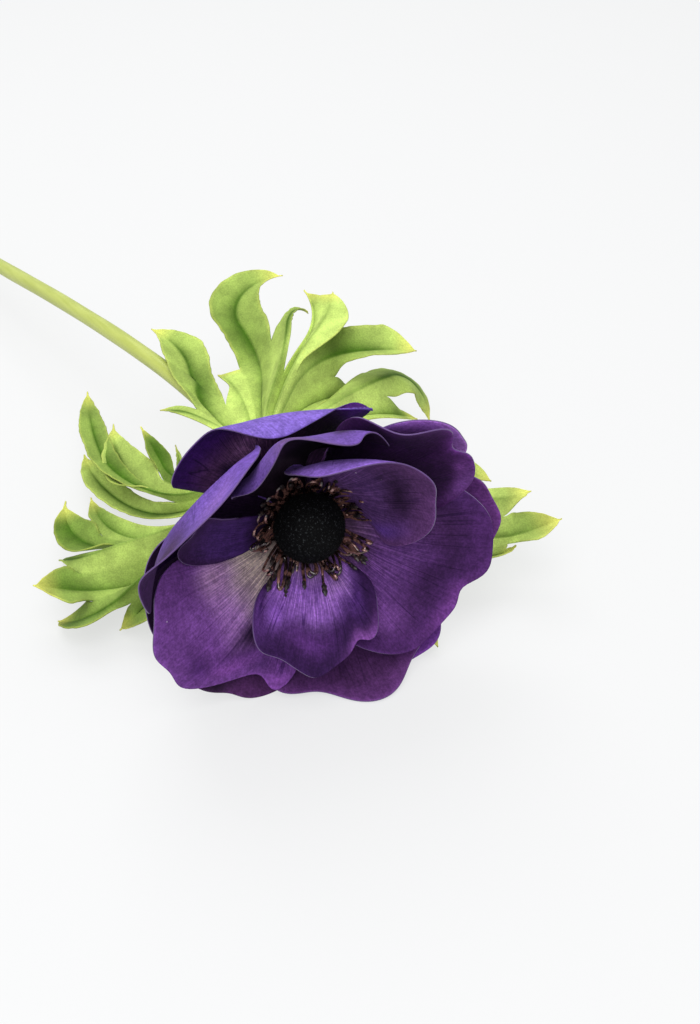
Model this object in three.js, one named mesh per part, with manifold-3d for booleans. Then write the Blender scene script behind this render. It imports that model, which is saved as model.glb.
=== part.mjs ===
// A cut anemone lying on its side: a long stem with a swollen head, a velvety
// centre with its ring of stamens, fifteen petals in three whorls, and a collar
// of four deeply cut leaves. Millimetres, +Z up. The stem runs along X with its
// cut end at -X; the bloom lies at +X, turned AXIS_AZIMUTH about Z and raised
// AXIS_RISE. Every piece is first laid out about the heart of the bloom, which
// stands HEART_HEIGHT over the ground, and ORIGIN_SHIFT then moves the whole
// flower so that its box stands centred on the origin.
import * as THREE from 'three';
import { mergeVertices } from 'three/addons/utils/BufferGeometryUtils.js';
import Module from 'manifold-3d';

const HEART_HEIGHT = 40;
const AXIS_AZIMUTH = -22;
const AXIS_RISE = 17;
const ORIGIN_SHIFT = [144.65, -9.2];

const STEM_RADIUS = 2.6;
const HEAD_RADIUS = 4.6;          // swollen top of the stem, which carries the petals
const HEAD_BOTTOM = -7.4;         // along the bloom's axis
const HEAD_TOP = 1.2;
const STEM_ROUTE = [              // centre line from the head to the cut end
  [-3.5, 1.5, 38.9], [-11.5, 4.4, 36.2], [-22, 7.8, 33.4], [-36, 11, 32.5],
  [-60, 12, 34.5], [-85, 11.5, 36.4], [-105, 11, 35.6],
  [-150, 11, 29.9], [-199, 11, 21.6], [-250, 11, 12.8], [-300, 11, 5.6], [-328, 11, 2.55],
];

const DOME_RADIUS = 9.3;
const DOME_WIDEST = 5.0;          // along the bloom's axis
const DOME_BOTTOM = 2.4;
const DOME_TOP = 13.9;
const DOME_SEAT_RADIUS = 7.2;     // its flat underside
const RING_INNER = 5.0;           // flat ring that the stamens grow from
const RING_OUTER = 8.3;
const RING_BOTTOM = 1.55;
const RING_TOP = 2.0;
const STAMENS = 34;
const FILAMENT_RADIUS = 0.42;

const PETAL_THICKNESS = 0.7;
const CLAW_START = 1;             // the petal's narrow end: distance out and half width
const CLAW_HALF = 1.4;
const LEAF_THICKNESS = 0.7;

// Each petal: azimuth round the heart (0 to the viewer's right, 90 up), base
// [radius, height along the axis], length, half angle of its fan, lean out of the
// bloom's plane with three turns over the thirds of its length, and the cup,
// twist, skew and sideways sweep of its blade. Its rim has shallow dips, or lobes
// where their depth is below 0, and curls, which lift it: each [place from -1 to 1
// across the petal, depth as a share of the length or height in mm, spread].
// Angles are in degrees.
const PETALS = {
  petal_inner_bottom: {
    azimuth: 271, base: [5, -1.1], length: 38.5, fan: 51, lean: 26, turns: [25, -8, -12],
    cup: 34, twist: -5.5, skew: -0.24, sweep: -0.16, wave: 0.8, waves: 3, phase: 0.5,
    dips: [[-0.3, 0.12, 0.21], [0.28, 0.05, 0.05], [-0.01, -0.03, 0.09], [0.4, -0.09, 0.09]],
    curls: [],
  },
  petal_inner_right: {
    azimuth: 42, base: [5, -1.3], length: 45.5, fan: 55, lean: 26.5, turns: [41, -17, 17],
    cup: 68, twist: -9.5, skew: 0.52, sweep: -0.04, wave: 0.6, waves: 2.5, phase: 1,
    dips: [[0.39, -0.1, 0.2], [-0.25, -0.07, 0.17], [0.02, -0.08, 0.09]],
    curls: [[0.38, 5, 0.18], [-0.26, -1.8, 0.23]],
  },
  petal_inner_left: {
    azimuth: 176.5, base: [5, -1], length: 37.5, fan: 21, lean: 23.5, turns: [14, -20, 41],
    cup: 19, twist: -13.5, skew: -0.05, sweep: -0.2, wave: 0.5, waves: 3, phase: 0,
    dips: [[0.48, -0.08, 0.2]],
    curls: [[0.24, -1.5, 0.32]],
  },
  petal_inner_top: {
    azimuth: 116, base: [4.8, 0.2], length: 61, fan: 32, lean: 3, turns: [48, 15, 57],
    cup: 28, twist: -4, skew: -0.36, sweep: -0.2, wave: 1.6, waves: 2.4, phase: 0.4,
    dips: [[0.07, 0.18, 0.24], [-0.43, 0.14, 0.22], [0.14, -0.08, 0.12]],
    curls: [[0.06, -8, 0.31], [-0.68, 3.9, 0.09], [0.29, 10, 0.24]],
  },
  petal_middle_lower_left: {
    azimuth: 231.5, base: [4.8, -2.1], length: 45, fan: 57, squareness: 3.2, lean: 18.5, turns: [7, 6, -27],
    cup: 19, twist: -7.5, skew: -0.25, sweep: -0.27, wave: 1.2, waves: 2, phase: 1,
    dips: [[0.57, 0.21, 0.05], [0.42, -0.24, 0.08], [-0.43, 0.06, 0.18], [0.1, -0.15, 0.14]],
    curls: [],
  },
  petal_middle_right: {
    azimuth: 331.5, base: [4.8, -1.9], length: 44.5, fan: 66, lean: 21, turns: [7, -13, 2],
    cup: 34, twist: -4, skew: -0.04, sweep: 0.08, wave: 1.2, waves: 3.5, phase: 0,
    dips: [[-0.06, 0.07, 0.06], [0.01, -0.06, 0.11], [0.22, -0.06, 0.17], [-0.4, -0.06, 0.13],
      [0.73, -0.14, 0.12]],
    curls: [],
  },
  petal_middle_bottom: {
    azimuth: 279.5, base: [4.4, -3.3], length: 52, fan: 47.5, lean: 9.5, turns: [9, 8, 53],
    cup: 14, twist: -3.5, skew: -0.08, sweep: 0.04, wave: 1, waves: 2.5, phase: 2,
    dips: [[0.29, 0.05, 0.14], [-0.24, 0.1, 0.17], [0.03, -0.02, 0.16]],
    curls: [],
  },
  petal_middle_upper_right: {
    azimuth: 39.5, base: [4.6, -3.5], length: 57, fan: 35, lean: 31, turns: [19, -7, -6],
    cup: 15, twist: 3.5, skew: 0.13, sweep: 0.07, wave: 1.4, waves: 3, phase: 1,
    dips: [[-0.07, 0.07, 0.07], [0.3, 0.04, 0.13], [0.47, 0.06, 0.16]],
    curls: [[0.25, 8.9, 0.21]],
  },
  petal_middle_top: {
    azimuth: 109.5, base: [4.6, -4.2], length: 45.5, fan: 65.5, lean: -10.5, turns: [29, 25, 139],
    cup: 24, twist: -10, skew: 0.19, sweep: -0.36, wave: 1.4, waves: 2, phase: 0.6,
    dips: [[0.06, 0.06, 0.19], [-0.29, -0.02, 0.15], [0.69, -0.06, 0.15], [0.38, 0.12, 0.13]],
    curls: [[0.12, -2.6, 0.33], [-0.31, -0.9, 0.2], [0.87, -8.9, 0.14]],
  },
  petal_middle_left: {
    azimuth: 147.5, base: [4.6, -3], length: 64, fan: 38, lean: 14, turns: [14, 58, -14],
    cup: 26, twist: -18, skew: 0.22, sweep: 0.02, wave: 1.4, waves: 2, phase: 1.6,
    dips: [[0.27, -0.03, 0.2], [-0.1, -0.09, 0.2]],
    curls: [[-0.36, -4.2, 0.23], [0.31, -3.6, 0.14]],
  },
  petal_outer_right: {
    azimuth: 348.5, base: [4.2, -3.7], length: 48.5, fan: 35.5, lean: 8, turns: [7, 7, 2],
    cup: 21, twist: -1, skew: 0, sweep: 0.03, wave: 0.8, waves: 3, phase: 0,
    dips: [[0.09, -0.04, 0.12], [0.45, -0.03, 0.15]],
    curls: [],
  },
  petal_outer_upper_right: {
    azimuth: 44.5, base: [4.2, -4.6], length: 51, fan: 30, lean: 11.5, turns: [17, 25, -2],
    cup: 31, twist: 20, skew: -0.08, sweep: -0.02, wave: 1, waves: 3, phase: 0,
    dips: [[0.03, -0.09, 0.19], [0.38, 0.06, 0.2]],
    curls: [],
  },
  petal_outer_left: {
    azimuth: 194, base: [4.2, -5.4], length: 47, fan: 36, lean: -4.5, turns: [12, 16, 16],
    cup: 19, twist: -9, skew: 0.05, sweep: 0.11, wave: 0.8, waves: 3, phase: 0,
    dips: [[-0.01, -0.02, 0.2]],
    curls: [],
  },
  petal_outer_lower_left: {
    azimuth: 232, base: [4.2, -4.5], length: 51, fan: 44.5, lean: 6, turns: [9, 15, -2],
    cup: 17, twist: -1, skew: 0, sweep: -0.09, wave: 0.8, waves: 3, phase: 0,
    dips: [[0.14, 0.03, 0.09]],
    curls: [],
  },
  petal_outer_lower_right: {
    azimuth: 293.5, base: [4.2, -4.7], length: 49, fan: 30, lean: 0.5, turns: [14, 12, 18],
    cup: 15, twist: -6, skew: 0.07, sweep: 0.1, wave: 0.8, waves: 3, phase: 0,
    dips: [[0.08, 0.02, 0.19]],
    curls: [],
  },
};

// Each leaf is one blade cut into lobes that join round its base out to the
// sinuses, the radii where neighbouring lobes part. A lobe: heading azimuth and
// rise, length, pitch and yaw turns over its thirds, half width, the fraction of
// the length where it is widest, and how full its tip is.
const LEAVES = {
  leaf_back: { base: [-36, 11.6, 34.6], sinuses: [27, 25, 39, 45, 27, 62, 27, 39, 22, 46], lobes: [
    { azimuth: -161, rise: 24, length: 40, pitch: [-17, -10, -25], yaw: [-3, 2, 4],
      half: 2.5, widest: 0.64, full: 1.9, root: 3, tail: 0.5, cup: 0.2 },
    { azimuth: 198, rise: 11, length: 71, pitch: [-11, 6, 4], yaw: [-25, -19, 49],
      half: 6.6, widest: 0.78, full: 1.2, root: 1.9, tail: 1, cup: 0.45 },
    { azimuth: 168, rise: 23, length: 42, pitch: [-12, -13, -19], yaw: [-12, 10, 11],
      half: 0.9, widest: 0.82, full: 1.6, root: 3.8, tail: 0.5, cup: 0.2 },
    { azimuth: 147, rise: 17, length: 86, pitch: [-15, 16, 0], yaw: [-4, 32, -146],
      half: 8, widest: 0.7, full: 2.7, root: 1.3, tail: 1.6, cup: 0.4 },
    { azimuth: 146, rise: 37, length: 69, pitch: [-11, -19, -56], yaw: [-22, 17, -34],
      half: 0.9, widest: 0.86, full: 2.7, root: 3.3, tail: 0.7, cup: 0.3 },
    { azimuth: 133, rise: 26, length: 67, pitch: [-8, -5, -4], yaw: [-9, -5, 55],
      half: 0.9, widest: 0.52, full: 1.5, root: 3.6, tail: 0.5, cup: 0.3 },
    { azimuth: 129, rise: 38, length: 66, pitch: [-8, -24, -5], yaw: [-10, -4, 25],
      half: 8.2, widest: 0.76, full: 1.2, root: 4, tail: 0.8, cup: 0.3 },
    { azimuth: 119, rise: 33, length: 69, pitch: [-14, -25, -1], yaw: [0, -43, -23],
      half: 8.2, widest: 0.86, full: 1.4, root: 9, tail: 0.7, cup: 0.45 },
    { azimuth: 116, rise: 21, length: 55, pitch: [-23, -17, 8], yaw: [-6, -14, 6],
      half: 3.8, widest: 0.74, full: 2.1, root: 3, tail: 0.6, cup: 0.3 },
    { azimuth: 92, rise: 20, length: 83, pitch: [-13, -31, -62], yaw: [0, 19, -103],
      half: 8.2, widest: 0.74, full: 1.2, root: 3.8, tail: 1.2, cup: -0.2 },
    { azimuth: 81, rise: 14, length: 58, pitch: [-14, -19, -14], yaw: [6, 3, -14],
      half: 3.6, widest: 0.78, full: 2, root: 3, tail: 0.5, cup: 0.2 },
  ] },
  leaf_left_high: { base: [-40.6, 9.4, 34.1], sinuses: [29, 30, 31, 29], lobes: [
    { azimuth: -81, rise: -56, length: 80, pitch: [28, 29, 1], yaw: [-58, -31, -31],
      half: 4.6, widest: 0.8, full: 1.3, root: 3, tail: 0.8, cup: 0.3 },
    { azimuth: -89, rise: -45, length: 93, pitch: [40, 5, 7], yaw: [-61, -46, -14],
      half: 4, widest: 0.74, full: 2, root: 2.4, tail: 0.8, cup: 0.4 },
    { azimuth: -97, rise: -50, length: 69, pitch: [28, 27, 17], yaw: [-41, -43, -32],
      half: 8.2, widest: 0.58, full: 2, root: 2.2, tail: 1, cup: 0.3 },
    { azimuth: -101, rise: -34, length: 50, pitch: [11, 28, 17], yaw: [-36, -56, 8],
      half: 3.8, widest: 0.66, full: 1.2, root: 2.3, tail: 0.6, cup: 0.3 },
    { azimuth: -113, rise: -39, length: 52, pitch: [5, 21, 12], yaw: [-30, -74, 18],
      half: 1.2, widest: 0.6, full: 1.5, root: 1.9, tail: 0.4, cup: 0.2 },
  ] },
  leaf_left_low: { base: [-33.4, 9, 31.4], sinuses: [57, 65, 64, 48, 55], lobes: [
    { azimuth: -41, rise: -16, length: 65, pitch: [0, -16, -13], yaw: [-43, -14, -15],
      half: 6.8, widest: 0.8, full: 1.6, root: 2.5, tail: 0.6, cup: 0.2 },
    { azimuth: -57, rise: -12, length: 83, pitch: [4, -27, 4], yaw: [-35, -6, -81],
      half: 6.7, widest: 0.72, full: 2.3, root: 3.7, tail: 1, cup: 0.3 },
    { azimuth: -67, rise: -32, length: 80, pitch: [4, 25, 36], yaw: [-24, -27, 10],
      half: 8.1, widest: 0.86, full: 1.7, root: 2.7, tail: 0.6, cup: 0.25 },
    { azimuth: -70, rise: -12, length: 85, pitch: [5, -24, -13], yaw: [-38, -30, -81],
      half: 1, widest: 0.82, full: 2.4, root: 2.2, tail: 1.2, cup: 0.2 },
    { azimuth: -74, rise: -33, length: 79, pitch: [16, 5, 34], yaw: [-40, -26, -78],
      half: 8.2, widest: 0.52, full: 4, root: 3, tail: 2.2, cup: 0.3 },
    { azimuth: -83, rise: -35, length: 70, pitch: [10, 19, 16], yaw: [-27, -44, -51],
      half: 4.6, widest: 0.72, full: 1.7, root: 2.2, tail: 0.6, cup: 0.35 },
  ] },
  leaf_right: { base: [-36, 13.0, 31.8], sinuses: [45, 71, 77, 22], lobes: [
    { azimuth: 64, rise: 15, length: 68, pitch: [-20, -6, -12], yaw: [-13, 5, -21],
      half: 4, widest: 0.86, full: 1.9, root: 2.5, tail: 0.8, cup: 0.2 },
    { azimuth: 49, rise: 10, length: 80, pitch: [-17, -2, 6], yaw: [-17, 12, 38],
      half: 3.1, widest: 0.86, full: 2.8, root: 2.5, tail: 0.6, cup: 0.3 },
    { azimuth: 37, rise: -7, length: 91, pitch: [-11, 12, 29], yaw: [-12, 22, 20],
      half: 6.5, widest: 0.86, full: 2.4, root: 3, tail: 0.6, cup: 0.3 },
    { azimuth: 29, rise: -7, length: 83, pitch: [-9, -1, 11], yaw: [-6, 9, 71],
      half: 0.9, widest: 0.86, full: 2, root: 3, tail: 1, cup: 0.2 },
    { azimuth: 6, rise: -15, length: 75, pitch: [-9, 2, -9], yaw: [-8, 29, -36],
      half: 2.7, widest: 0.84, full: 2, root: 2.5, tail: 0.8, cup: 0.2 },
  ] },
};

const deg = Math.PI / 180;
const clamp = (x) => Math.min(1, Math.max(0, x));
const smooth = (x) => { const t = clamp(x); return t * t * (3 - 2 * t); };
const bell = (x) => Math.exp(-x * x);

const wasm = await Module();
wasm.setup();

// three.js geometry to a manifold-3d solid, and back
function solid(geometry) {
  const g = geometry.clone();
  g.deleteAttribute('normal');
  g.deleteAttribute('uv');
  const merged = mergeVertices(g, 1e-4);
  return new wasm.Manifold(new wasm.Mesh({
    numProp: 3,
    vertProperties: new Float32Array(merged.attributes.position.array),
    triVerts: new Uint32Array(merged.index.array),
  }));
}
function geometryOf(body) {
  const m = body.getMesh();
  return meshOf(m.vertProperties, m.triVerts);
}
function meshOf(positions, triangles) {
  const g = new THREE.BufferGeometry();
  g.setAttribute('position', new THREE.BufferAttribute(new Float32Array(positions), 3));
  g.setIndex(Array.from(triangles));
  return g;
}

// The bloom's own frame: z along its axis, y up, x to the viewer's right
const bloom = new THREE.Matrix4();
{
  const a = AXIS_AZIMUTH * deg, e = AXIS_RISE * deg;
  const z = new THREE.Vector3(Math.cos(a) * Math.cos(e), Math.sin(a) * Math.cos(e), Math.sin(e));
  const y = new THREE.Vector3(0, 0, 1).addScaledVector(z, -z.z).normalize();
  const x = new THREE.Vector3().crossVectors(y, z);
  bloom.makeBasis(x, y, z).setPosition(0, 0, HEART_HEIGHT);
}

// A blade of even thickness: the sheet's vertices pushed both ways along their
// normals, its two faces split alike, and its free edges walled. Each group in
// `even` shares one normal, where the blade is no wider than it is thick.
function thickSheet(vertices, triangles, thickness, even) {
  const n = vertices.length;
  const normals = vertices.map(() => new THREE.Vector3());
  const e1 = new THREE.Vector3(), e2 = new THREE.Vector3();
  for (const [a, b, c] of triangles) {
    e1.subVectors(vertices[b], vertices[a]);
    e2.subVectors(vertices[c], vertices[a]).cross(e1).negate();
    for (const i of [a, b, c]) normals[i].add(e2);
  }
  for (const group of even) {
    const sum = new THREE.Vector3();
    for (const i of group) sum.add(normals[i]);
    for (const i of group) normals[i].copy(sum);
  }
  const positions = [];
  for (const side of [0.5, -0.5]) {
    for (let i = 0; i < n; i++) {
      const p = vertices[i].clone().addScaledVector(normals[i].clone().normalize(), side * thickness);
      positions.push(p.x, p.y, p.z);
    }
  }
  const edges = new Map();
  for (const [a, b, c] of triangles) {
    for (const [p, q] of [[a, b], [b, c], [c, a]]) {
      const back = `${q},${p}`;
      if (edges.has(back)) edges.delete(back); else edges.set(`${p},${q}`, [p, q]);
    }
  }
  const faces = [];
  for (const [a, b, c] of triangles) faces.push(a, b, c, n + a, n + c, n + b);
  for (const [p, q] of edges.values()) faces.push(q, p, n + p, q, n + p, n + q);
  return meshOf(positions, faces);
}

// Distance out and height reached after running s along a line that starts at
// `start` and turns by `turns` over the three thirds of `length`; heading too.
function threeArcs(s, start, length, turns) {
  let r = 0, z = 0, heading = start;
  for (let i = 0; i < 3; i++) {
    const from = i * length / 3, k = turns[i] * deg / (length / 3);
    let d = Math.max(0, s - from);
    if (i < 2) d = Math.min(d, length / 3);
    if (Math.abs(k) < 1e-9) { r += d * Math.cos(heading); z += d * Math.sin(heading); } else {
      r += (Math.sin(heading + k * d) - Math.sin(heading)) / k;
      z += (Math.cos(heading) - Math.cos(heading + k * d)) / k;
    }
    heading += k * d;
  }
  return [r, z, heading];
}

// A petal is a fan with a rounded end, R(b) = length (1 - |b/fan|^n)^(1/n), drawn
// from a short claw out to that rim, rolled along its length by three arcs,
// hollowed across by one, twisted, and rippled.
function petalSheet(p) {
  const across = 12, along = 8, n = p.squareness ?? 2.6, fan = p.fan * deg;
  const half = p.length * Math.sin(fan) * 0.72;
  const az = p.azimuth * deg;
  const out = new THREE.Vector3(Math.cos(az), Math.sin(az), 0);
  const side = new THREE.Vector3(-Math.sin(az), Math.cos(az), 0);
  const axis = new THREE.Vector3(0, 0, 1);
  const vertices = [], triangles = [];
  for (let j = 0; j <= along; j++) {
    for (let i = 0; i <= across; i++) {
      const u = 2 * i / across - 1, v = j / along;
      const b = fan * 0.97 * Math.sin(u * 80 * deg) / Math.sin(80 * deg);
      let R = p.length * (1 - Math.abs(b / fan) ** n) ** (1 / n);
      for (const [at, depth, spread] of p.dips) R *= 1 - depth * bell((u - at) / spread);
      R *= 1 + p.skew * u;
      const y = CLAW_START + (R * Math.cos(b) - CLAW_START) * v;
      const x = CLAW_HALF * u * (1 - v) + R * Math.sin(b) * v + p.sweep * (y / p.length) ** 2 * p.length;
      const [r, z, heading] = threeArcs(y, p.lean * deg, p.length, p.turns);
      const k = Math.max(1e-6, p.cup * deg / half), turn = k * Math.abs(x);
      const lateral = Math.sign(x) * Math.sin(turn) / k;
      let lift = (1 - Math.cos(turn)) / k * smooth(y / (0.45 * p.length));
      const rim = (u * u * 0.6 + v ** 3) * v * v;
      lift += p.wave * rim * Math.sin(p.waves * Math.PI * u + p.phase + 2.2 * v);
      for (const [at, height, spread] of p.curls) lift += height * v ** 4 * bell((u - at) / spread);
      const t = p.twist * deg * smooth(y / (0.6 * p.length));
      const X = lateral * Math.cos(t) - lift * Math.sin(t);
      const N = lateral * Math.sin(t) + lift * Math.cos(t);
      vertices.push(new THREE.Vector3()
        .addScaledVector(out, p.base[0] + r - N * Math.sin(heading))
        .addScaledVector(side, X)
        .addScaledVector(axis, p.base[1] + z + N * Math.cos(heading))
        .applyMatrix4(bloom));
    }
  }
  const at = (i, j) => j * (across + 1) + i;
  for (let j = 0; j < along; j++) {
    for (let i = 0; i < across; i++) {
      triangles.push([at(i, j), at(i + 1, j), at(i + 1, j + 1)], [at(i, j), at(i + 1, j + 1), at(i, j + 1)]);
    }
  }
  return thickSheet(vertices, triangles, PETAL_THICKNESS, [vertices.slice(0, across + 1).map((_, i) => i)]);
}

// Half width of a lobe at the fraction x of its length: it grows from the root to
// its widest place, then closes to a tip that may end in a thin tail.
function lobeWidth(l, x) {
  if (x < l.widest) return l.root + (l.half - l.root) * smooth(x / l.widest) + 0.15;
  const q = clamp((x - l.widest) / (1 - l.widest));
  return (l.half - l.tail) * (1 - Math.min(1, q / 0.93) ** l.full) + l.tail * (1 - q ** 3) + 0.3;
}

// The mid rib of a lobe, stepped out from the leaf's base, with the directions to
// its left and above it at every step.
function midRib(base, l) {
  const steps = 200, ribs = [];
  const position = new THREE.Vector3(...base);
  let before = null;
  for (let i = 0; i <= steps; i++) {
    const x = i / steps;
    let pitch = l.rise * deg, yaw = l.azimuth * deg;
    for (let k = 0; k < 3; k++) {
      pitch += l.pitch[k] * deg * clamp(x * 3 - k);
      yaw += l.yaw[k] * deg * clamp(x * 3 - k);
    }
    const level = Math.cos(pitch);
    const ahead = new THREE.Vector3(level * Math.cos(yaw), level * Math.sin(yaw), Math.sin(pitch));
    if (before) position.addScaledVector(before.add(ahead), l.length / steps / 2);
    const left = new THREE.Vector3(-Math.sin(yaw), Math.cos(yaw), 0);
    const above = new THREE.Vector3().crossVectors(ahead, left);
    ribs.push({ at: position.clone(), left, above });
    before = ahead;
  }
  return (radius) => ribs[Math.round(clamp(radius / l.length) * steps)];
}

// A leaf: lobes side by side in order of falling azimuth. Out to each sinus two
// neighbours share the line half way between their mid ribs; beyond it each edge
// eases over to the lobe's own half width. Both halves fold up from the mid rib.
function leafSheet(leaf) {
  const STEP = 4, TIP_ROWS = 6;
  const { lobes, sinuses, base } = leaf;
  const rib = lobes.map((l) => midRib(base, l));
  const last = sinuses.map((s) => Math.max(1, Math.round(s / STEP)));
  const vertices = [new THREE.Vector3(...base)], triangles = [], even = [[0]];
  const shared = sinuses.map(() => new Map());
  const line = (k, row) => {
    if (!shared[k].has(row)) {
      vertices.push(rib[k](row * STEP).at.clone().add(rib[k + 1](row * STEP).at).multiplyScalar(0.5));
      shared[k].set(row, vertices.length - 1);
    }
    return shared[k].get(row);
  };
  lobes.forEach((l, i) => {
    const joined = Math.max(i > 0 ? last[i - 1] : 0, i < lobes.length - 1 ? last[i] : 0);
    const rows = [];
    for (let row = 1; row <= joined; row++) rows.push(row * STEP);
    const rest = TIP_ROWS + Math.floor((l.length - joined * STEP) / 12);
    for (let k = 1; k <= rest; k++) rows.push(joined * STEP + (l.length - joined * STEP) * k / rest);
    const edge = (radius, row, side) => {
      const k = side > 0 ? i - 1 : i;
      const neighbour = k >= 0 && k < sinuses.length;
      if (neighbour && row <= last[k]) return line(k, row);
      const here = rib[i](radius);
      const half = lobeWidth(l, radius / l.length);
      const p = here.at.clone().addScaledVector(here.left, side * half);
      p.addScaledVector(here.above, half * l.cup * smooth(radius / (0.5 * l.length)));
      if (neighbour) {
        const from = last[k] * STEP, there = rib[i](from);
        const own = there.at.clone().addScaledVector(there.left, side * lobeWidth(l, from / l.length));
        const step = vertices[line(k, last[k])].clone().sub(own);
        p.addScaledVector(step, 1 - smooth((radius - from) / (0.45 * (l.length - from))));
      }
      vertices.push(p);
      return vertices.length - 1;
    };
    let before = null;
    rows.forEach((radius, j) => {
      const a = edge(radius, j + 1, 1), b = edge(radius, j + 1, -1);
      vertices.push(rib[i](radius).at.clone());
      const now = [a, vertices.length - 1, b];
      if (j === 0) even[0].push(...now.filter((k) => !even[0].includes(k)));
      else if (j + 1 > joined && lobeWidth(l, radius / l.length) < 1.6) even.push(now);
      for (let c = 0; c < 2; c++) {
        if (!before) triangles.push([0, now[c], now[c + 1]]);
        else triangles.push([before[c], now[c], now[c + 1]], [before[c], now[c + 1], before[c + 1]]);
      }
      before = now;
    });
  });
  return thickSheet(vertices, triangles, LEAF_THICKNESS, even);
}

// Stem: a round tube down its route, widening into the head that ends at the
// bloom's heart. `spare` makes it thicker, for the room the leaves leave round it.
function stemSolid(spare = 0) {
  const route = new THREE.CatmullRomCurve3(STEM_ROUTE.map((p) => new THREE.Vector3(...p)));
  const section = new THREE.Shape();
  const sides = 10, r = (STEM_RADIUS + spare) / Math.cos(Math.PI / sides) * 0.985;
  for (let i = 0; i < sides; i++) {
    const a = (i + 0.5) * 2 * Math.PI / sides;
    if (i === 0) section.moveTo(r * Math.cos(a), r * Math.sin(a));
    else section.lineTo(r * Math.cos(a), r * Math.sin(a));
  }
  section.closePath();
  const bar = new THREE.ExtrudeGeometry(section, { extrudePath: route, steps: 44, bevelEnabled: false });
  const tube = solid(bar);
  const profile = [
    [0, HEAD_BOTTOM], [2.2, HEAD_BOTTOM], [3.9, HEAD_BOTTOM + 1.4],
    [HEAD_RADIUS, HEAD_BOTTOM + 3.2], [HEAD_RADIUS, HEAD_TOP], [0, HEAD_TOP],
  ].map(([out, z]) => new THREE.Vector2(out === 0 ? 0 : out + spare, z));
  const head = new THREE.LatheGeometry(profile, 20);
  head.rotateX(Math.PI / 2).applyMatrix4(bloom);
  return tube.add(solid(head));
}

// Velvety dome: round above its widest ring, drawn in below it to a flat seat.
function domeGeometry() {
  const around = 26, below = 3, above = 7;
  const profile = [new THREE.Vector2(0, DOME_BOTTOM)];
  for (let i = 0; i <= below; i++) {
    const t = -Math.PI / 2 * (1 - i / below);
    const out = DOME_SEAT_RADIUS + (DOME_RADIUS - DOME_SEAT_RADIUS) * Math.cos(t);
    profile.push(new THREE.Vector2(out, DOME_WIDEST + (DOME_WIDEST - DOME_BOTTOM) * Math.sin(t)));
  }
  for (let i = 1; i <= above; i++) {
    const t = Math.PI / 2 * i / above;
    const out = i === above ? 0 : DOME_RADIUS * Math.cos(t);
    profile.push(new THREE.Vector2(out, DOME_WIDEST + (DOME_TOP - DOME_WIDEST) * Math.sin(t)));
  }
  const g = new THREE.LatheGeometry(profile, around);
  g.rotateX(Math.PI / 2).applyMatrix4(bloom);
  return geometryOf(solid(g));
}

// Stamens: a thin flat ring under the dome, with bowed filaments that each end in
// a long anther. The spread, the length and the bow vary by a fixed seed.
function random(seed) {
  let s = seed >>> 0;
  return () => { s = (s * 1664525 + 1013904223) >>> 0; return s / 4294967296; };
}
function stamenGeometry() {
  const rand = random(7);
  const profile = [
    [RING_INNER, RING_BOTTOM], [RING_OUTER, RING_BOTTOM], [RING_OUTER, RING_TOP],
    [RING_INNER, RING_TOP], [RING_INNER, RING_BOTTOM],
  ];
  const ring = new THREE.LatheGeometry(profile.map(([r, z]) => new THREE.Vector2(r, z)), 30);
  ring.rotateX(Math.PI / 2);
  let body = solid(ring);
  for (let i = 0; i < STAMENS; i++) {
    const a = (i + 0.5 * rand()) / STAMENS * 2 * Math.PI;
    const reach = 5.2 + 1.6 * rand();
    const point = (r, z, turn = 0) => new THREE.Vector3(r * Math.cos(a + turn), r * Math.sin(a + turn), z);
    const bend = (rand() - 0.5) * 0.25;
    const root = point(8.0, 1.76), knee = point(10.6, 2.7, bend * 0.4);
    const tip = point(10.3 + 0.3 * reach, 2.8 + reach, bend);
    const section = new THREE.Shape();
    for (let k = 0; k < 4; k++) {
      const t = k * Math.PI / 2;
      if (k === 0) section.moveTo(FILAMENT_RADIUS, 0);
      else section.lineTo(FILAMENT_RADIUS * Math.cos(t), FILAMENT_RADIUS * Math.sin(t));
    }
    section.closePath();
    const extrudePath = new THREE.QuadraticBezierCurve3(root, knee, tip);
    const filament = new THREE.ExtrudeGeometry(section, { extrudePath, steps: 2, bevelEnabled: false });
    const anther = new THREE.SphereGeometry(0.66, 5, 3).scale(1, 1.9, 1);
    const along = tip.clone().sub(knee).normalize();
    anther.applyQuaternion(new THREE.Quaternion().setFromUnitVectors(new THREE.Vector3(0, 1, 0), along));
    anther.translate(tip.x, tip.y, tip.z);
    body = body.add(solid(filament)).add(solid(anther));
  }
  const g = geometryOf(body.simplify(0.02));
  g.applyMatrix4(bloom);
  return g;
}

const flower = new THREE.Group();
flower.position.set(ORIGIN_SHIFT[0], ORIGIN_SHIFT[1], 0);

function place(name, geometry, color, roughness) {
  const material = new THREE.MeshStandardMaterial({ color, roughness, metalness: 0, side: THREE.DoubleSide });
  const mesh = new THREE.Mesh(geometry, material);
  mesh.name = name;
  flower.add(mesh);
}

place('stem', geometryOf(stemSolid()), 0xb9c465, 0.6);
place('dome', domeGeometry(), 0x15141a, 0.95);
place('stamens', stamenGeometry(), 0x5a4038, 0.4);
for (const [name, p] of Object.entries(PETALS)) place(name, petalSheet(p), 0x4b2a80, 0.7);
const room = stemSolid(0.3);
for (const [name, leaf] of Object.entries(LEAVES)) {
  place(name, geometryOf(solid(leafSheet(leaf)).subtract(room)), 0x9cb84a, 0.75);
}

export default flower;
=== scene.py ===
"""A cut anemone lying on its side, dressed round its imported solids: a stalk with a
swollen head, petals in whorls, a velvety dome with its stamens, and a collar of
cut leaves. Sizes are in millimetres where a piece is drawn, metres in its mesh."""

import bpy
import numpy as np
from mathutils import Matrix, Vector


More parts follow.
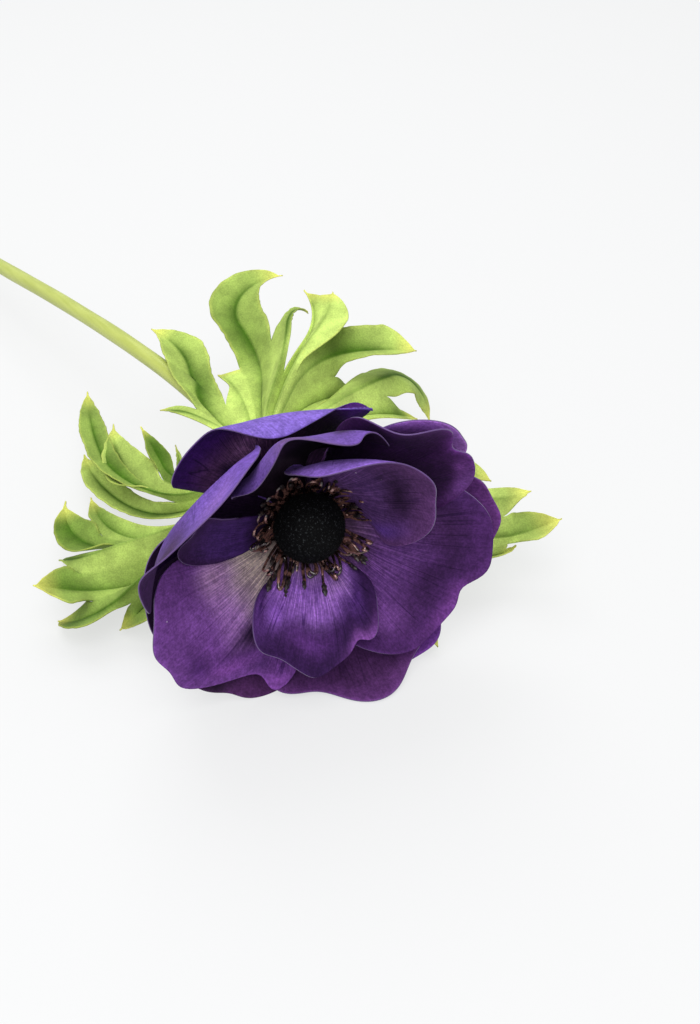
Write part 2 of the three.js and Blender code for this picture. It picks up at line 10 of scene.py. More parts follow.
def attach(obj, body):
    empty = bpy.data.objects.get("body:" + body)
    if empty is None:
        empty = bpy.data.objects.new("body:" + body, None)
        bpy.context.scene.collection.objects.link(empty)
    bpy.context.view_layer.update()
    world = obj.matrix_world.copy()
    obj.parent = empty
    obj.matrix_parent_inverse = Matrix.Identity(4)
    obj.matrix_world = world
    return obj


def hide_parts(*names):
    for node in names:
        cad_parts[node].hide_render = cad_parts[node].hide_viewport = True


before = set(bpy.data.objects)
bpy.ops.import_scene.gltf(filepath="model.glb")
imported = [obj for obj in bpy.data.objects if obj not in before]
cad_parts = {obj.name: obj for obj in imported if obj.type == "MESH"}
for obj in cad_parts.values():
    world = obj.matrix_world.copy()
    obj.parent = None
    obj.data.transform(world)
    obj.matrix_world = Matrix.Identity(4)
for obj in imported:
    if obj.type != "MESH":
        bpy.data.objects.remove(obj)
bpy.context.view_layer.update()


# ---------------------------------------------------------------- stem
# The stalk is a wire coated in soft green plastic, a little uneven in thickness.
# It bends up into a swollen head, which the petals are glued to.

HEART = np.array([144.65, -9.2, 40.0])     # heart of the bloom, where its axis starts
BLOOM_AZIMUTH, BLOOM_RISE = np.radians(-22), np.radians(17)
BLOOM_AXIS = np.array([np.cos(BLOOM_AZIMUTH) * np.cos(BLOOM_RISE),
                       np.sin(BLOOM_AZIMUTH) * np.cos(BLOOM_RISE), np.sin(BLOOM_RISE)])


def unit(vectors):
    """The same directions, each of length 1."""
    return vectors / np.linalg.norm(vectors, axis=-1, keepdims=True)


def round_axis(turn, radius, height):
    """Points (radius cos turn, radius sin turn, height), about the bloom's axis."""
    return np.stack([radius * np.cos(turn), radius * np.sin(turn), height + 0 * turn], -1)


def full_turn(count):
    """That many angles, evenly round a full turn."""
    return np.arange(count) * 2 * np.pi / count


def bloom_to_row(points):
    """Turns points given about the heart (x to the right of someone who faces the
    bloom, y up, z along its axis) into the row's frame."""
    up = np.array([0, 0, 1.0]) - BLOOM_AXIS[2] * BLOOM_AXIS
    up /= np.linalg.norm(up)
    return points @ np.stack([np.cross(up, BLOOM_AXIS), up, BLOOM_AXIS]) + HEART


def curve_through(knots, count):
    """A smooth line through the knots: cubic steps between them, whose slopes are
    the central differences over the distances between the knots."""
    knots = np.asarray(knots, float)
    s = np.concatenate([[0], np.cumsum(np.linalg.norm(np.diff(knots, axis=0), axis=1))])
    slope = np.gradient(knots, s, axis=0, edge_order=2)
    at = np.linspace(0, s[-1], count)
    k = np.clip(np.searchsorted(s, at, side="right") - 1, 0, len(s) - 2)
    h = (s[k + 1] - s[k])[:, None]
    t = (at - s[k])[:, None] / h
    return ((2 * t**3 - 3 * t**2 + 1) * knots[k] + (t**3 - 2 * t**2 + t) * h * slope[k]
            + (3 * t**2 - 2 * t**3) * knots[k + 1] + (t**3 - t**2) * h * slope[k + 1])


def tube(path, radius, sides, flat=1.0):
    """Rings of points square to each path: path + radius (cos a side + flat sin a over),
    where side is nearly level. One path or many, as (..., points, 3)."""
    ahead = unit(np.gradient(path, axis=-2))
    nearly_up = np.array([0.02, 0.013, 1.0])           # never quite along a path
    side = unit(np.cross(ahead, nearly_up))
    over = np.cross(side, ahead)
    a = full_turn(sides)
    ring = (np.cos(a)[:, None] * side[..., None, :] + flat * np.sin(a)[:, None] * over[..., None, :])
    return path[..., None, :] + np.asarray(radius)[..., None, None] * ring


def skin(grid, wrap=False, caps=False):
    """Points and faces of one grid of rows and columns, or of many. wrap joins the
    last column to the first, and caps closes the end rows round their middles."""
    many = grid.reshape(-1, *grid.shape[-3:])
    k, n, m, _ = many.shape
    index = np.arange(k * n * m).reshape(k, n, m)
    a, b = (index, np.roll(index, -1, 2)) if wrap else (index[:, :, :-1], index[:, :, 1:])
    faces = np.stack([a[:, :-1], b[:, :-1], b[:, 1:], a[:, 1:]], -1).reshape(-1, 4).tolist()
    points = many.reshape(-1, 3)
    if caps:
        middle = np.stack([many[:, 0].mean(1), many[:, -1].mean(1)], 1)
        c = k * n * m + np.arange(2 * k).reshape(k, 2)
        first = np.stack([np.repeat(c[:, :1], b.shape[2], 1), b[:, 0], a[:, 0]], -1)
        last = np.stack([np.repeat(c[:, 1:], b.shape[2], 1), a[:, -1], b[:, -1]], -1)
        faces += np.concatenate([first, last]).reshape(-1, 3).tolist()
        points = np.concatenate([points, middle.reshape(-1, 3)])
    return points, faces


def join(*parts):
    """Several parts, each given as (points, faces), as the points and faces of one."""
    faces, count = [], 0
    for part_points, part_faces in parts:
        faces += [[i + count for i in face] for face in part_faces]
        count += len(part_points)
    return np.concatenate([part_points for part_points, _ in parts]), faces


def make_piece(name, points, faces, *finishes, slot):
    """A smooth-shaded piece from points in millimetres, on the part's one body."""
    mesh = bpy.data.meshes.new(name)
    mesh.from_pydata((points / 1000).tolist(), [], faces)
    mesh.polygons.foreach_set("use_smooth", [True] * len(mesh.polygons))
    for finish in finishes:
        mesh.materials.append(finish)
    piece = bpy.data.objects.new(name, mesh)
    bpy.context.scene.collection.objects.link(piece)
    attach(piece, "root")
    return piece


def paint(piece, name, colours):
    """Keeps a colour for each point of the piece, as an attribute of that name."""
    field = piece.data.attributes.new(name, "FLOAT_COLOR", "POINT")
    colours = np.hstack([colours, np.ones((len(colours), 1))])
    field.data.foreach_set("color", colours.astype(np.float32).ravel())


def new_finish(name, **settings):
    """A material whose Principled shader has the given sockets set; returns it with
    its node tree and that shader."""
    finish = bpy.data.materials.new(name)
    finish.use_nodes = True
    shader = finish.node_tree.nodes["Principled BSDF"]
    for socket, value in settings.items():
        shader.inputs[socket.replace("_", " ")].default_value = value
    return finish, finish.node_tree, shader


def step_node(tree, value, low, high, to_low=0.0, to_high=1.0):
    """A Map Range node, clamped and eased, from low..high to to_low..to_high."""
    node = tree.nodes.new("ShaderNodeMapRange")
    node.interpolation_type = "SMOOTHSTEP"
    for socket, number in zip(("From Min", "From Max", "To Min", "To Max"), (low, high, to_low, to_high)):
        node.inputs[socket].default_value = number
    tree.links.new(value, node.inputs["Value"])
    return node.outputs["Result"]


def feed(tree, sockets, values):
    """Links each socket to its value, or sets it where the value is plain."""
    for socket, value in zip(sockets, values):
        if isinstance(value, bpy.types.NodeSocket):
            tree.links.new(value, socket)
        else:
            socket.default_value = value


def mix_node(tree, share, first, second, blend="MIX"):
    """A colour Mix node. share, first and second are sockets or plain values."""
    node = tree.nodes.new("ShaderNodeMix")
    node.data_type, node.blend_type = "RGBA", blend
    feed(tree, (node.inputs[0], node.inputs[6], node.inputs[7]), (share, first, second))
    return node.outputs[2]


def math_node(tree, operation, *values):
    """A Math node. Each value is a socket or a number."""
    node = tree.nodes.new("ShaderNodeMath")
    node.operation = operation
    feed(tree, node.inputs, values)
    return node.outputs[0]


def attribute_node(tree, name):
    """The outputs of an Attribute node that reads the painted values of that name."""
    node = tree.nodes.new("ShaderNodeAttribute")
    node.attribute_name = name
    return node.outputs


def noise_node(tree, vector, scale, detail=2.0, roughness=0.5, distortion=0.0):
    """A Noise Texture's value at the given vector."""
    node = tree.nodes.new("ShaderNodeTexNoise")
    for socket, number in zip(("Scale", "Detail", "Roughness", "Distortion"),
                              (scale, detail, roughness, distortion)):
        node.inputs[socket].default_value = number
    tree.links.new(vector, node.inputs["Vector"])
    return node.outputs["Fac"]


def bump_node(tree, shader, height, depth):
    """Joins a height to the shader's normal, depth metres deep."""
    node = tree.nodes.new("ShaderNodeBump")
    node.inputs["Strength"].default_value = 1.0
    node.inputs["Distance"].default_value = depth
    tree.links.new(height, node.inputs["Height"])
    tree.links.new(node.outputs["Normal"], shader.inputs["Normal"])


stem_route = np.array([
    [-3.5, 1.5, 38.9], [-11.5, 4.4, 36.2], [-22, 7.8, 33.4], [-36, 11, 32.5], [-60, 12, 34.5],
    [-85, 11.5, 36.4], [-105, 11, 35.6], [-150, 11, 29.9], [-199, 11, 21.6], [-250, 11, 12.8],
    [-300, 11, 5.6], [-328, 11, 2.62]]) + [HEART[0], HEART[1], 0]
STEM_STEPS, STEM_SIDES, STEM_RADIUS, UNEVEN = 380, 28, 2.58, 0.05
stem_path = curve_through(stem_route, STEM_STEPS)
distance = np.linspace(0, 1, STEM_STEPS)
stem_radius = STEM_RADIUS + UNEVEN * np.sin(41 * distance) * np.sin(17 * distance + 1)
stem_radius[-4:] *= [0.99, 0.96, 0.9, 0.8]          # the cut end is a little rounded
stalk = skin(tube(stem_path, stem_radius, STEM_SIDES)[:, ::-1], wrap=True, caps=True)

head_height = np.array([-9.0, -8.2, -7.0, -5.4, -3.6, -1.8, -0.4, 0.6, 1.1])
head_radius = np.array([0.6, 2.0, 3.2, 4.1, 4.55, 4.6, 4.5, 3.9, 2.4])
HEAD_RIBS, RIB_DEPTH = 10, 0.025
around = full_turn(40)
ribbed = head_radius[:, None] * (1 + RIB_DEPTH * np.cos(HEAD_RIBS * around))
head = skin(bloom_to_row(round_axis(around, ribbed, head_height[:, None])), wrap=True, caps=True)

stem_finish, tree, shader = new_finish(
    "green_stalk", Roughness=0.42, Specular_IOR_Level=0.45, Coat_Weight=0.12, Coat_Roughness=0.35)
place = tree.nodes.new("ShaderNodeTexCoord").outputs["Object"]
stretched = tree.nodes.new("ShaderNodeMapping")
stretched.inputs["Scale"].default_value = (30, 500, 500)
tree.links.new(place, stretched.inputs["Vector"])
streaks = noise_node(tree, stretched.outputs["Vector"], 1.0, detail=3)
green = mix_node(tree, step_node(tree, streaks, 0.35, 0.7),
                 (0.36, 0.41, 0.075, 1), (0.43, 0.48, 0.11, 1))
tree.links.new(green, shader.inputs["Base Color"])
bump_node(tree, shader, streaks, 0.00012)

stem = make_piece("stalk_and_head", *join(stalk, head), stem_finish, slot="stem")
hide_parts("stem")


# ---------------------------------------------------------------- petals
# Each petal is one piece of dyed cloth, heat-pressed into a hollow with a waved rim.
# The face is violet with darker veins that fan out from the claw, the back is mostly
# a lighter blue violet, and the cut edge is plain violet. The shade and light that
# fall on each petal are painted into its colours: petals deep in the bloom are painted
# near black, and soft patches of painted shade and painted light lie on faces and backs.

def ease(x):
    """0 below 0, 1 above 1, and 3x^2 - 2x^3 between."""
    x = np.clip(x, 0, 1)
    return x * x * (3 - 2 * x)


def three_arcs(s, start, length, turns):
    """Distance out, height and heading after running s along a line that starts at
    `start` and turns by `turns` over the thirds of `length`, each a round arc."""
    out, height, heading = np.zeros_like(s), np.zeros_like(s), np.full_like(s, start)
    for i, turn in enumerate(np.radians(turns)):
        k = turn / (length / 3) + 1e-9
        run = np.clip(s - i * length / 3, 0, None if i == 2 else length / 3)
        out = out + (np.sin(heading + k * run) - np.sin(heading)) / k
        height = height + (np.cos(heading) - np.cos(heading + k * run)) / k
        heading = heading + k * run
    return out, height, heading


def petal_surface(azimuth, base, length, fan, lean, turns, cup, twist, skew, sweep, wave, waves,
                  phase, dips, curls=(), squareness=2.6, rows=72, columns=120):
    """A fan with a rounded end, R(b) = length (1 - |b/fan|^n)^(1/n) at the angle b, drawn
    from a short claw out to that rim, rolled along its length by three arcs, hollowed
    across by one, twisted, and waved at the rim. Dips are (u, depth, spread) in the rim,
    and curls lift it by (u, height, spread). Returns the grid of points, u, v and b."""
    u = np.linspace(-1, 1, columns)[None, :]
    v = np.linspace(0, 1, rows)[:, None]
    widest = np.radians(fan)
    b = 0.97 * widest * np.sin(u * np.radians(80)) / np.sin(np.radians(80))
    rim = length * (1 - np.abs(b / widest) ** squareness) ** (1 / squareness)
    for at, depth, spread in dips:
        rim = rim * (1 - depth * np.exp(-((u - at) / spread) ** 2))
    rim = rim * (1 + skew * u)
    y = 1 + (rim * np.cos(b) - 1) * v
    claw = (1.4 * (1 - v) + 3.2 * (1 - v) ** 3) * u
    x = claw + rim * np.sin(b) * v + sweep * (y / length) ** 2 * length
    out, height, heading = three_arcs(y, np.radians(lean), length, turns)
    bend = max(1e-6, np.radians(cup) / (length * np.sin(widest) * 0.72))
    across = np.sign(x) * np.sin(bend * np.abs(x)) / bend
    lift = (1 - np.cos(bend * np.abs(x))) / bend * ease(y / (0.45 * length))
    edge = (u * u * 0.6 + v**3) * v * v
    lift = lift + wave * edge * np.sin(waves * np.pi * u + phase + 2.2 * v)
    for at, height_there, spread in curls:
        lift = lift + height_there * v**4 * np.exp(-((u - at) / spread) ** 2)
    turn = np.radians(twist) * ease(y / (0.6 * length))
    side = across * np.cos(turn) - lift * np.sin(turn)
    over = across * np.sin(turn) + lift * np.cos(turn)
    reach = base[0] + out - over * np.sin(heading)
    a = np.radians(azimuth)
    grid = np.stack([reach * np.cos(a) - side * np.sin(a), reach * np.sin(a) + side * np.cos(a),
                     base[1] + height + over * np.cos(heading)], -1)
    return grid, u + 0 * v, v + 0 * u, b + 0 * v


PETALS = {
    "petal_inner_bottom": dict(
        azimuth=271, base=(5, -1.1), length=38.5, fan=51, lean=26, turns=(25, -8, -12),
        cup=34, twist=-5.5, skew=-0.24, sweep=-0.16, wave=0.8, waves=3, phase=0.5,
        dips=[(-0.3, 0.12, 0.21), (0.28, 0.05, 0.05), (-0.01, -0.03, 0.09), (0.4, -0.09, 0.09)]),
    "petal_inner_right": dict(
        azimuth=42, base=(5, -1.3), length=45.5, fan=55, lean=26.5, turns=(41, -17, 17),
        cup=68, twist=-9.5, skew=0.52, sweep=-0.04, wave=0.6, waves=2.5, phase=1,
        dips=[(0.39, -0.1, 0.2), (-0.25, -0.07, 0.17), (0.02, -0.08, 0.09)],
        curls=[(0.38, 5, 0.18), (-0.26, -1.8, 0.23)]),
    "petal_inner_left": dict(
        azimuth=176.5, base=(5, -1), length=37.5, fan=21, lean=23.5, turns=(14, -20, 41),
        cup=19, twist=-13.5, skew=-0.05, sweep=-0.2, wave=0.5, waves=3, phase=0,
        dips=[(0.48, -0.08, 0.2)],
        curls=[(0.24, -1.5, 0.32)]),
    "petal_inner_top": dict(
        azimuth=116, base=(4.8, 0.2), length=61, fan=32, lean=3, turns=(48, 15, 57),
        cup=28, twist=-4, skew=-0.36, sweep=-0.2, wave=1.6, waves=2.4, phase=0.4,
        dips=[(0.07, 0.18, 0.24), (-0.43, 0.14, 0.22), (0.14, -0.08, 0.12)],
        curls=[(0.06, -8, 0.31), (-0.68, 3.9, 0.09), (0.29, 10, 0.24)]),
    "petal_middle_lower_left": dict(
        azimuth=231.5, base=(4.8, -2.1), length=45, fan=57, squareness=3.2, lean=18.5, turns=(7, 6, -27),
        cup=19, twist=-7.5, skew=-0.25, sweep=-0.27, wave=1.2, waves=2, phase=1,
        dips=[(0.57, 0.21, 0.05), (0.42, -0.24, 0.08), (-0.43, 0.06, 0.18), (0.1, -0.15, 0.14)]),
    "petal_middle_right": dict(
        azimuth=331.5, base=(4.8, -1.9), length=44.5, fan=66, lean=21, turns=(7, -13, 2),
        cup=34, twist=-4, skew=-0.04, sweep=0.08, wave=1.2, waves=3.5, phase=0,
        dips=[(-0.06, 0.07, 0.06), (0.01, -0.06, 0.11), (0.22, -0.06, 0.17), (-0.4, -0.06, 0.13),
              (0.73, -0.14, 0.12)]),
    "petal_middle_bottom": dict(
        azimuth=279.5, base=(4.4, -3.3), length=52, fan=47.5, lean=9.5, turns=(9, 8, 53),
        cup=14, twist=-3.5, skew=-0.08, sweep=0.04, wave=1, waves=2.5, phase=2,
        dips=[(0.29, 0.05, 0.14), (-0.24, 0.1, 0.17), (0.03, -0.02, 0.16)]),
    "petal_middle_upper_right": dict(
        azimuth=39.5, base=(4.6, -3.5), length=57, fan=35, lean=31, turns=(19, -7, -6),
        cup=15, twist=3.5, skew=0.13, sweep=0.07, wave=1.4, waves=3, phase=1,
        dips=[(-0.07, 0.07, 0.07), (0.3, 0.04, 0.13), (0.47, 0.06, 0.16)],
        curls=[(0.25, 8.9, 0.21)]),
    "petal_middle_top": dict(
        azimuth=109.5, base=(4.6, -4.2), length=45.5, fan=65.5, lean=-10.5, turns=(29, 25, 139),
        cup=24, twist=-10, skew=0.19, sweep=-0.36, wave=1.4, waves=2, phase=0.6,
        dips=[(0.06, 0.06, 0.19), (-0.29, -0.02, 0.15), (0.69, -0.06, 0.15), (0.38, 0.12, 0.13)],
        curls=[(0.12, -2.6, 0.33), (-0.31, -0.9, 0.2), (0.87, -8.9, 0.14)]),
    "petal_middle_left": dict(
        azimuth=147.5, base=(4.6, -3), length=64, fan=38, lean=14, turns=(14, 58, -14),
        cup=26, twist=-18, skew=0.22, sweep=0.02, wave=1.4, waves=2, phase=1.6,
        dips=[(0.27, -0.03, 0.2), (-0.1, -0.09, 0.2)],
        curls=[(-0.36, -4.2, 0.23), (0.31, -3.6, 0.14)]),
    "petal_outer_right": dict(
        azimuth=348.5, base=(4.2, -3.7), length=48.5, fan=35.5, lean=8, turns=(7, 7, 2),
        cup=21, twist=-1, skew=0, sweep=0.03, wave=0.8, waves=3, phase=0,
        dips=[(0.09, -0.04, 0.12), (0.45, -0.03, 0.15)]),
    "petal_outer_upper_right": dict(
        azimuth=44.5, base=(4.2, -4.6), length=51, fan=30, lean=11.5, turns=(17, 25, -2),
        cup=31, twist=20, skew=-0.08, sweep=-0.02, wave=1, waves=3, phase=0,
        dips=[(0.03, -0.09, 0.19), (0.38, 0.06, 0.2)]),
    "petal_outer_left": dict(
        azimuth=194, base=(4.2, -5.4), length=47, fan=36, lean=-4.5, turns=(12, 16, 16),
        cup=19, twist=-9, skew=0.05, sweep=0.11, wave=0.8, waves=3, phase=0,
        dips=[(-0.01, -0.02, 0.2)]),
    "petal_outer_lower_left": dict(
        azimuth=232, base=(4.2, -4.5), length=51, fan=44.5, lean=6, turns=(9, 15, -2),
        cup=17, twist=-1, skew=0, sweep=-0.09, wave=0.8, waves=3, phase=0,
        dips=[(0.14, 0.03, 0.09)]),
    "petal_outer_lower_right": dict(
        azimuth=293.5, base=(4.2, -4.7), length=49, fan=30, lean=0.5, turns=(14, 12, 18),
        cup=15, twist=-6, skew=0.07, sweep=0.1, wave=0.8, waves=3, phase=0,
        dips=[(0.08, 0.02, 0.19)]),
}


# The colours of each petal, its dye with painted shade and painted light: claw, body
# and rim of its face, its back, the span of v over which body turns into rim, how
# strongly its veins show, and soft washes of painted shade and painted light over the
# face or the back as (u, v, spread of u, spread of v, colour). claw_ends is the span
# of v over which claw turns into body, where it isn't CLAW_ENDS.
CLAW_ENDS = (0.12, 0.44)
DYES_AND_SHADE = {
    "petal_inner_bottom": dict(
        claw=(0.34, 0.22, 0.34), body=(0.42, 0.18, 0.7), rim=(0.03, 0.009, 0.058), back=(0.14, 0.08, 0.32),
        turns=(0.5, 0.79), veins=1.0, shade_and_light_washes=[
            (0.42, 0.66, 0.22, 0.12, (0.06, 0.018, 0.13)), (-0.12, 0.79, 0.22, 0.09, (0.09, 0.027, 0.16)),
            (-0.5, 0.68, 0.17, 0.12, (0.33, 0.13, 0.6)),
            (0.35, 0.44, 0.25, 0.10, (0.42, 0.21, 0.58)), (0.33, 0.98, 0.12, 0.07, (0.17, 0.055, 0.25)),
            (-0.72, 0.88, 0.2, 0.12, (0.12, 0.04, 0.23))]),
    "petal_inner_right": dict(
        claw=(0.16, 0.07, 0.23), body=(0.12, 0.05, 0.19), rim=(0.1, 0.036, 0.135), back=(0.24, 0.12, 0.52),
        turns=(0.5, 0.9), veins=0.8, shade_and_light_washes=[
            (-0.08, 0.70, 0.27, 0.13, (0.024, 0.008, 0.036)),
            (-0.45, 0.72, 0.13, 0.14, (0.11, 0.042, 0.25))]),
    "petal_inner_left": dict(
        claw=(0.035, 0.015, 0.045), body=(0.048, 0.016, 0.112), rim=(0.032, 0.01, 0.055),
        back=(0.05, 0.025, 0.1),
        turns=(0.6, 1.0), veins=0.6),
    "petal_inner_top": dict(
        claw=(0.012, 0.005, 0.013), body=(0.009, 0.004, 0.01), rim=(0.01, 0.003, 0.014),
        back=(0.14, 0.07, 0.32), turns=(0.5, 1.0), veins=0.3,
        shade_and_light_washes=[(-0.1, 0.55, 0.2, 0.12, (0.024, 0.009, 0.034))], back_shade_and_light_washes=[
            (-0.43, 0.86, 0.13, 0.06, (0.025, 0.01, 0.045)), (0, 0.97, 0.12, 0.06, (0.11, 0.055, 0.16))]),
    "petal_middle_lower_left": dict(
        claw=(0.72, 0.57, 0.51), body=(0.42, 0.20, 0.54), rim=(0.14, 0.045, 0.23), back=(0.14, 0.08, 0.3),
        claw_ends=(0.30, 0.60), turns=(0.54, 0.78), veins=0.9, shade_and_light_washes=[
            (-0.5, 0.58, 0.2, 0.1, (0.4, 0.22, 0.42)), (0.15, 0.6, 0.1, 0.14, (0.015, 0.005, 0.025)),
            (-0.23, 0.76, 0.16, 0.08, (0.2, 0.07, 0.32)), (0.03, 0.88, 0.12, 0.06, (0.07, 0.02, 0.13)),
            (0.15, 0.86, 0.06, 0.06, (0.2, 0.06, 0.31)),
            (0.41, 0.94, 0.07, 0.06, (0.2, 0.06, 0.31)), (0.3, 0.91, 0.05, 0.05, (0.075, 0.025, 0.13))]),
    "petal_middle_right": dict(
        claw=(0.2, 0.10, 0.22), body=(0.15, 0.055, 0.24), rim=(0.062, 0.018, 0.105), back=(0.15, 0.08, 0.3),
        turns=(0.45, 0.8), veins=0.8, shade_and_light_washes=[
            (0.05, 0.79, 0.42, 0.09, (0.036, 0.011, 0.06)), (-0.45, 0.7, 0.14, 0.11, (0.2, 0.07, 0.31)),
            (-0.15, 0.97, 0.13, 0.05, (0.14, 0.04, 0.215)), (0.42, 0.92, 0.12, 0.07, (0.09, 0.028, 0.155)),
            (0.3, 0.62, 0.16, 0.14, (0.07, 0.024, 0.1))]),
    "petal_middle_bottom": dict(
        claw=(0.05, 0.016, 0.07), body=(0.062, 0.019, 0.086), rim=(0.11, 0.034, 0.155),
        back=(0.1, 0.05, 0.2), turns=(0.85, 1.0), veins=0.6),
    "petal_middle_upper_right": dict(
        claw=(0.009, 0.002, 0.013), body=(0.018, 0.0035, 0.03), rim=(0.038, 0.008, 0.06),
        back=(0.3, 0.22, 0.46), turns=(0.7, 0.95), veins=0.5, shade_and_light_washes=[
            (0.2, 0.7, 0.15, 0.1, (0.035, 0.006, 0.06)), (-0.1, 1.0, 0.2, 0.045, (0.1, 0.024, 0.16)),
            (-0.25, 0.92, 0.08, 0.04, (0.12, 0.034, 0.18)), (-0.42, 0.95, 0.14, 0.07, (0.14, 0.045, 0.22))]),
    "petal_middle_top": dict(
        claw=(0.06, 0.023, 0.07), body=(0.085, 0.03, 0.1), rim=(0.04, 0.008, 0.1), back=(0.19, 0.115, 0.46),
        turns=(0.6, 0.9), veins=1.0, shade_and_light_washes=[
            (-0.5, 0.6, 0.45, 0.3, (0.006, 0.0015, 0.008)), (0.22, 0.55, 0.17, 0.11, (0.3, 0.13, 0.31)),
            (-0.38, 0.88, 0.25, 0.1, (0.075, 0.019, 0.16)), (0.46, 0.52, 0.1, 0.1, (0.008, 0.003, 0.026))]),
    "petal_middle_left": dict(
        claw=(0.02, 0.007, 0.03), body=(0.03, 0.009, 0.05), rim=(0.035, 0.01, 0.06),
        back=(0.15, 0.075, 0.37), turns=(0.5, 1.0), veins=0.5, back_shade_and_light_washes=[
            (-0.13, 0.78, 0.14, 0.1, (0.21, 0.105, 0.41)), (0.2, 0.85, 0.11, 0.25, (0.045, 0.018, 0.065)),
            (0.5, 0.85, 0.25, 0.25, (0.055, 0.022, 0.08)), (0.85, 0.85, 0.3, 0.3, (0.08, 0.03, 0.11))]),
    "petal_outer_right": dict(
        claw=(0.06, 0.018, 0.09), body=(0.09, 0.026, 0.13), rim=(0.115, 0.033, 0.165),
        back=(0.15, 0.08, 0.28), turns=(0.5, 1.0), veins=0.5),
    "petal_outer_upper_right": dict(
        claw=(0.06, 0.02, 0.09), body=(0.16, 0.06, 0.22), rim=(0.4, 0.17, 0.55), back=(0.2, 0.11, 0.38),
        turns=(0.8, 1.0), veins=0.5, shade_and_light_washes=[(0.27, 0.98, 0.1, 0.05, (0.6, 0.27, 0.8))]),
    "petal_outer_left": dict(
        claw=(0.01, 0.003, 0.014), body=(0.01, 0.003, 0.015), rim=(0.014, 0.004, 0.022),
        back=(0.1, 0.05, 0.2), turns=(0.5, 1.0), veins=0.4),
    "petal_outer_lower_left": dict(
        claw=(0.04, 0.012, 0.05), body=(0.045, 0.013, 0.06), rim=(0.06, 0.017, 0.078), back=(0.1, 0.05, 0.2),
        turns=(0.5, 1.0), veins=0.4, shade_and_light_washes=[(0.05, 0.98, 0.08, 0.1, (0.024, 0.009, 0.032))]),
    "petal_outer_lower_right": dict(
        claw=(0.05, 0.015, 0.08), body=(0.07, 0.02, 0.12), rim=(0.135, 0.038, 0.24), back=(0.12, 0.06, 0.22),
        turns=(0.5, 1.0), veins=0.4),
}


VEIN_TONE = (0.34, 0.30, 0.42, 1)          # the painted colour, dye with painted shade and light, is multiplied by this in a vein
LINT_COLOUR = (0.5, 0.42, 0.5, 1)


def petal_finish(name, dye_and_shade, depth_of_veins):
    """Dyed cloth: the dye painted on the petal together with its painted shade and painted
    light, darkened along veins, which are the places where a noise stretched from the
    claw to the rim crosses its middle value.
    Fine veins fade to a quarter past half way, coarse ones run on nearly to the rim."""
    finish, tree, shader = new_finish(
        name, Roughness=0.75, Specular_IOR_Level=0.08, Sheen_Weight=0.02, Sheen_Roughness=0.4)
    shader.inputs["Sheen Tint"].default_value = (0.75, 0.6, 0.95, 1)
    grain = attribute_node(tree, "grain")["Vector"]
    veined = tree.nodes.new("ShaderNodeSeparateColor")
    tree.links.new(attribute_node(tree, "veined")["Color"], veined.inputs["Color"])
    ink = 0.0
    for scale, width, reach in ((0.3, 0.014, "Green"), (1.0, 0.06, "Red"), (2.1, 0.10, "Red")):
        field = noise_node(tree, grain, scale, detail=1.5, distortion=0.15)
        off = math_node(tree, "ABSOLUTE", math_node(tree, "SUBTRACT", field, 0.5))
        line = step_node(tree, off, 0.0, width, 1.0, 0.0)
        drawn = math_node(tree, "MULTIPLY", line, veined.outputs[reach])
        ink = math_node(tree, "MAXIMUM", ink, drawn)
    place = tree.nodes.new("ShaderNodeTexCoord").outputs["Object"]
    colour = attribute_node(tree, dye_and_shade)["Color"]
    for scale, low, high in ((90, 0.92, 1.08), (420, 0.84, 1.14), (1500, 0.80, 1.18)):
        mottle = noise_node(tree, place, scale, detail=2, roughness=0.6)
        shade = step_node(tree, mottle, 0.32, 0.7, low, high)
        colour = mix_node(tree, 1.0, colour, shade, blend="MULTIPLY")
    inked = mix_node(tree, 1.0, colour, VEIN_TONE, blend="MULTIPLY")
    colour = mix_node(tree, ink, colour, inked)
    lint = tree.nodes.new("ShaderNodeTexVoronoi")
    lint.inputs["Scale"].default_value = 210
    tree.links.new(place, lint.inputs["Vector"])
    near = step_node(tree, lint.outputs["Distance"], 0.04, 0.065, 1.0, 0.0)
    rare = step_node(tree, lint.outputs["Color"], 0.78, 0.8)
    fleck = math_node(tree, "MULTIPLY", near, rare)
    tree.links.new(mix_node(tree, fleck, colour, LINT_COLOUR), shader.inputs["Base Color"])
    cloth = noise_node(tree, place, 2600, detail=2)
    height = math_node(tree, "MULTIPLY_ADD", ink, -depth_of_veins, cloth)
    bump_node(tree, shader, height, 0.00009)
    return finish


PETAL_THICKNESS = 0.00035                  # metres
petal_face = petal_finish("petal_face", "dye_and_shade", depth_of_veins=1.4)
petal_back = petal_finish("petal_back", "back_dye_and_shade", depth_of_veins=0.7)
petal_edge, tree, shader = new_finish("petal_cut_edge", Roughness=0.6, Sheen_Weight=0.1)
shader.inputs["Base Color"].default_value = (0.09, 0.04, 0.16, 1)

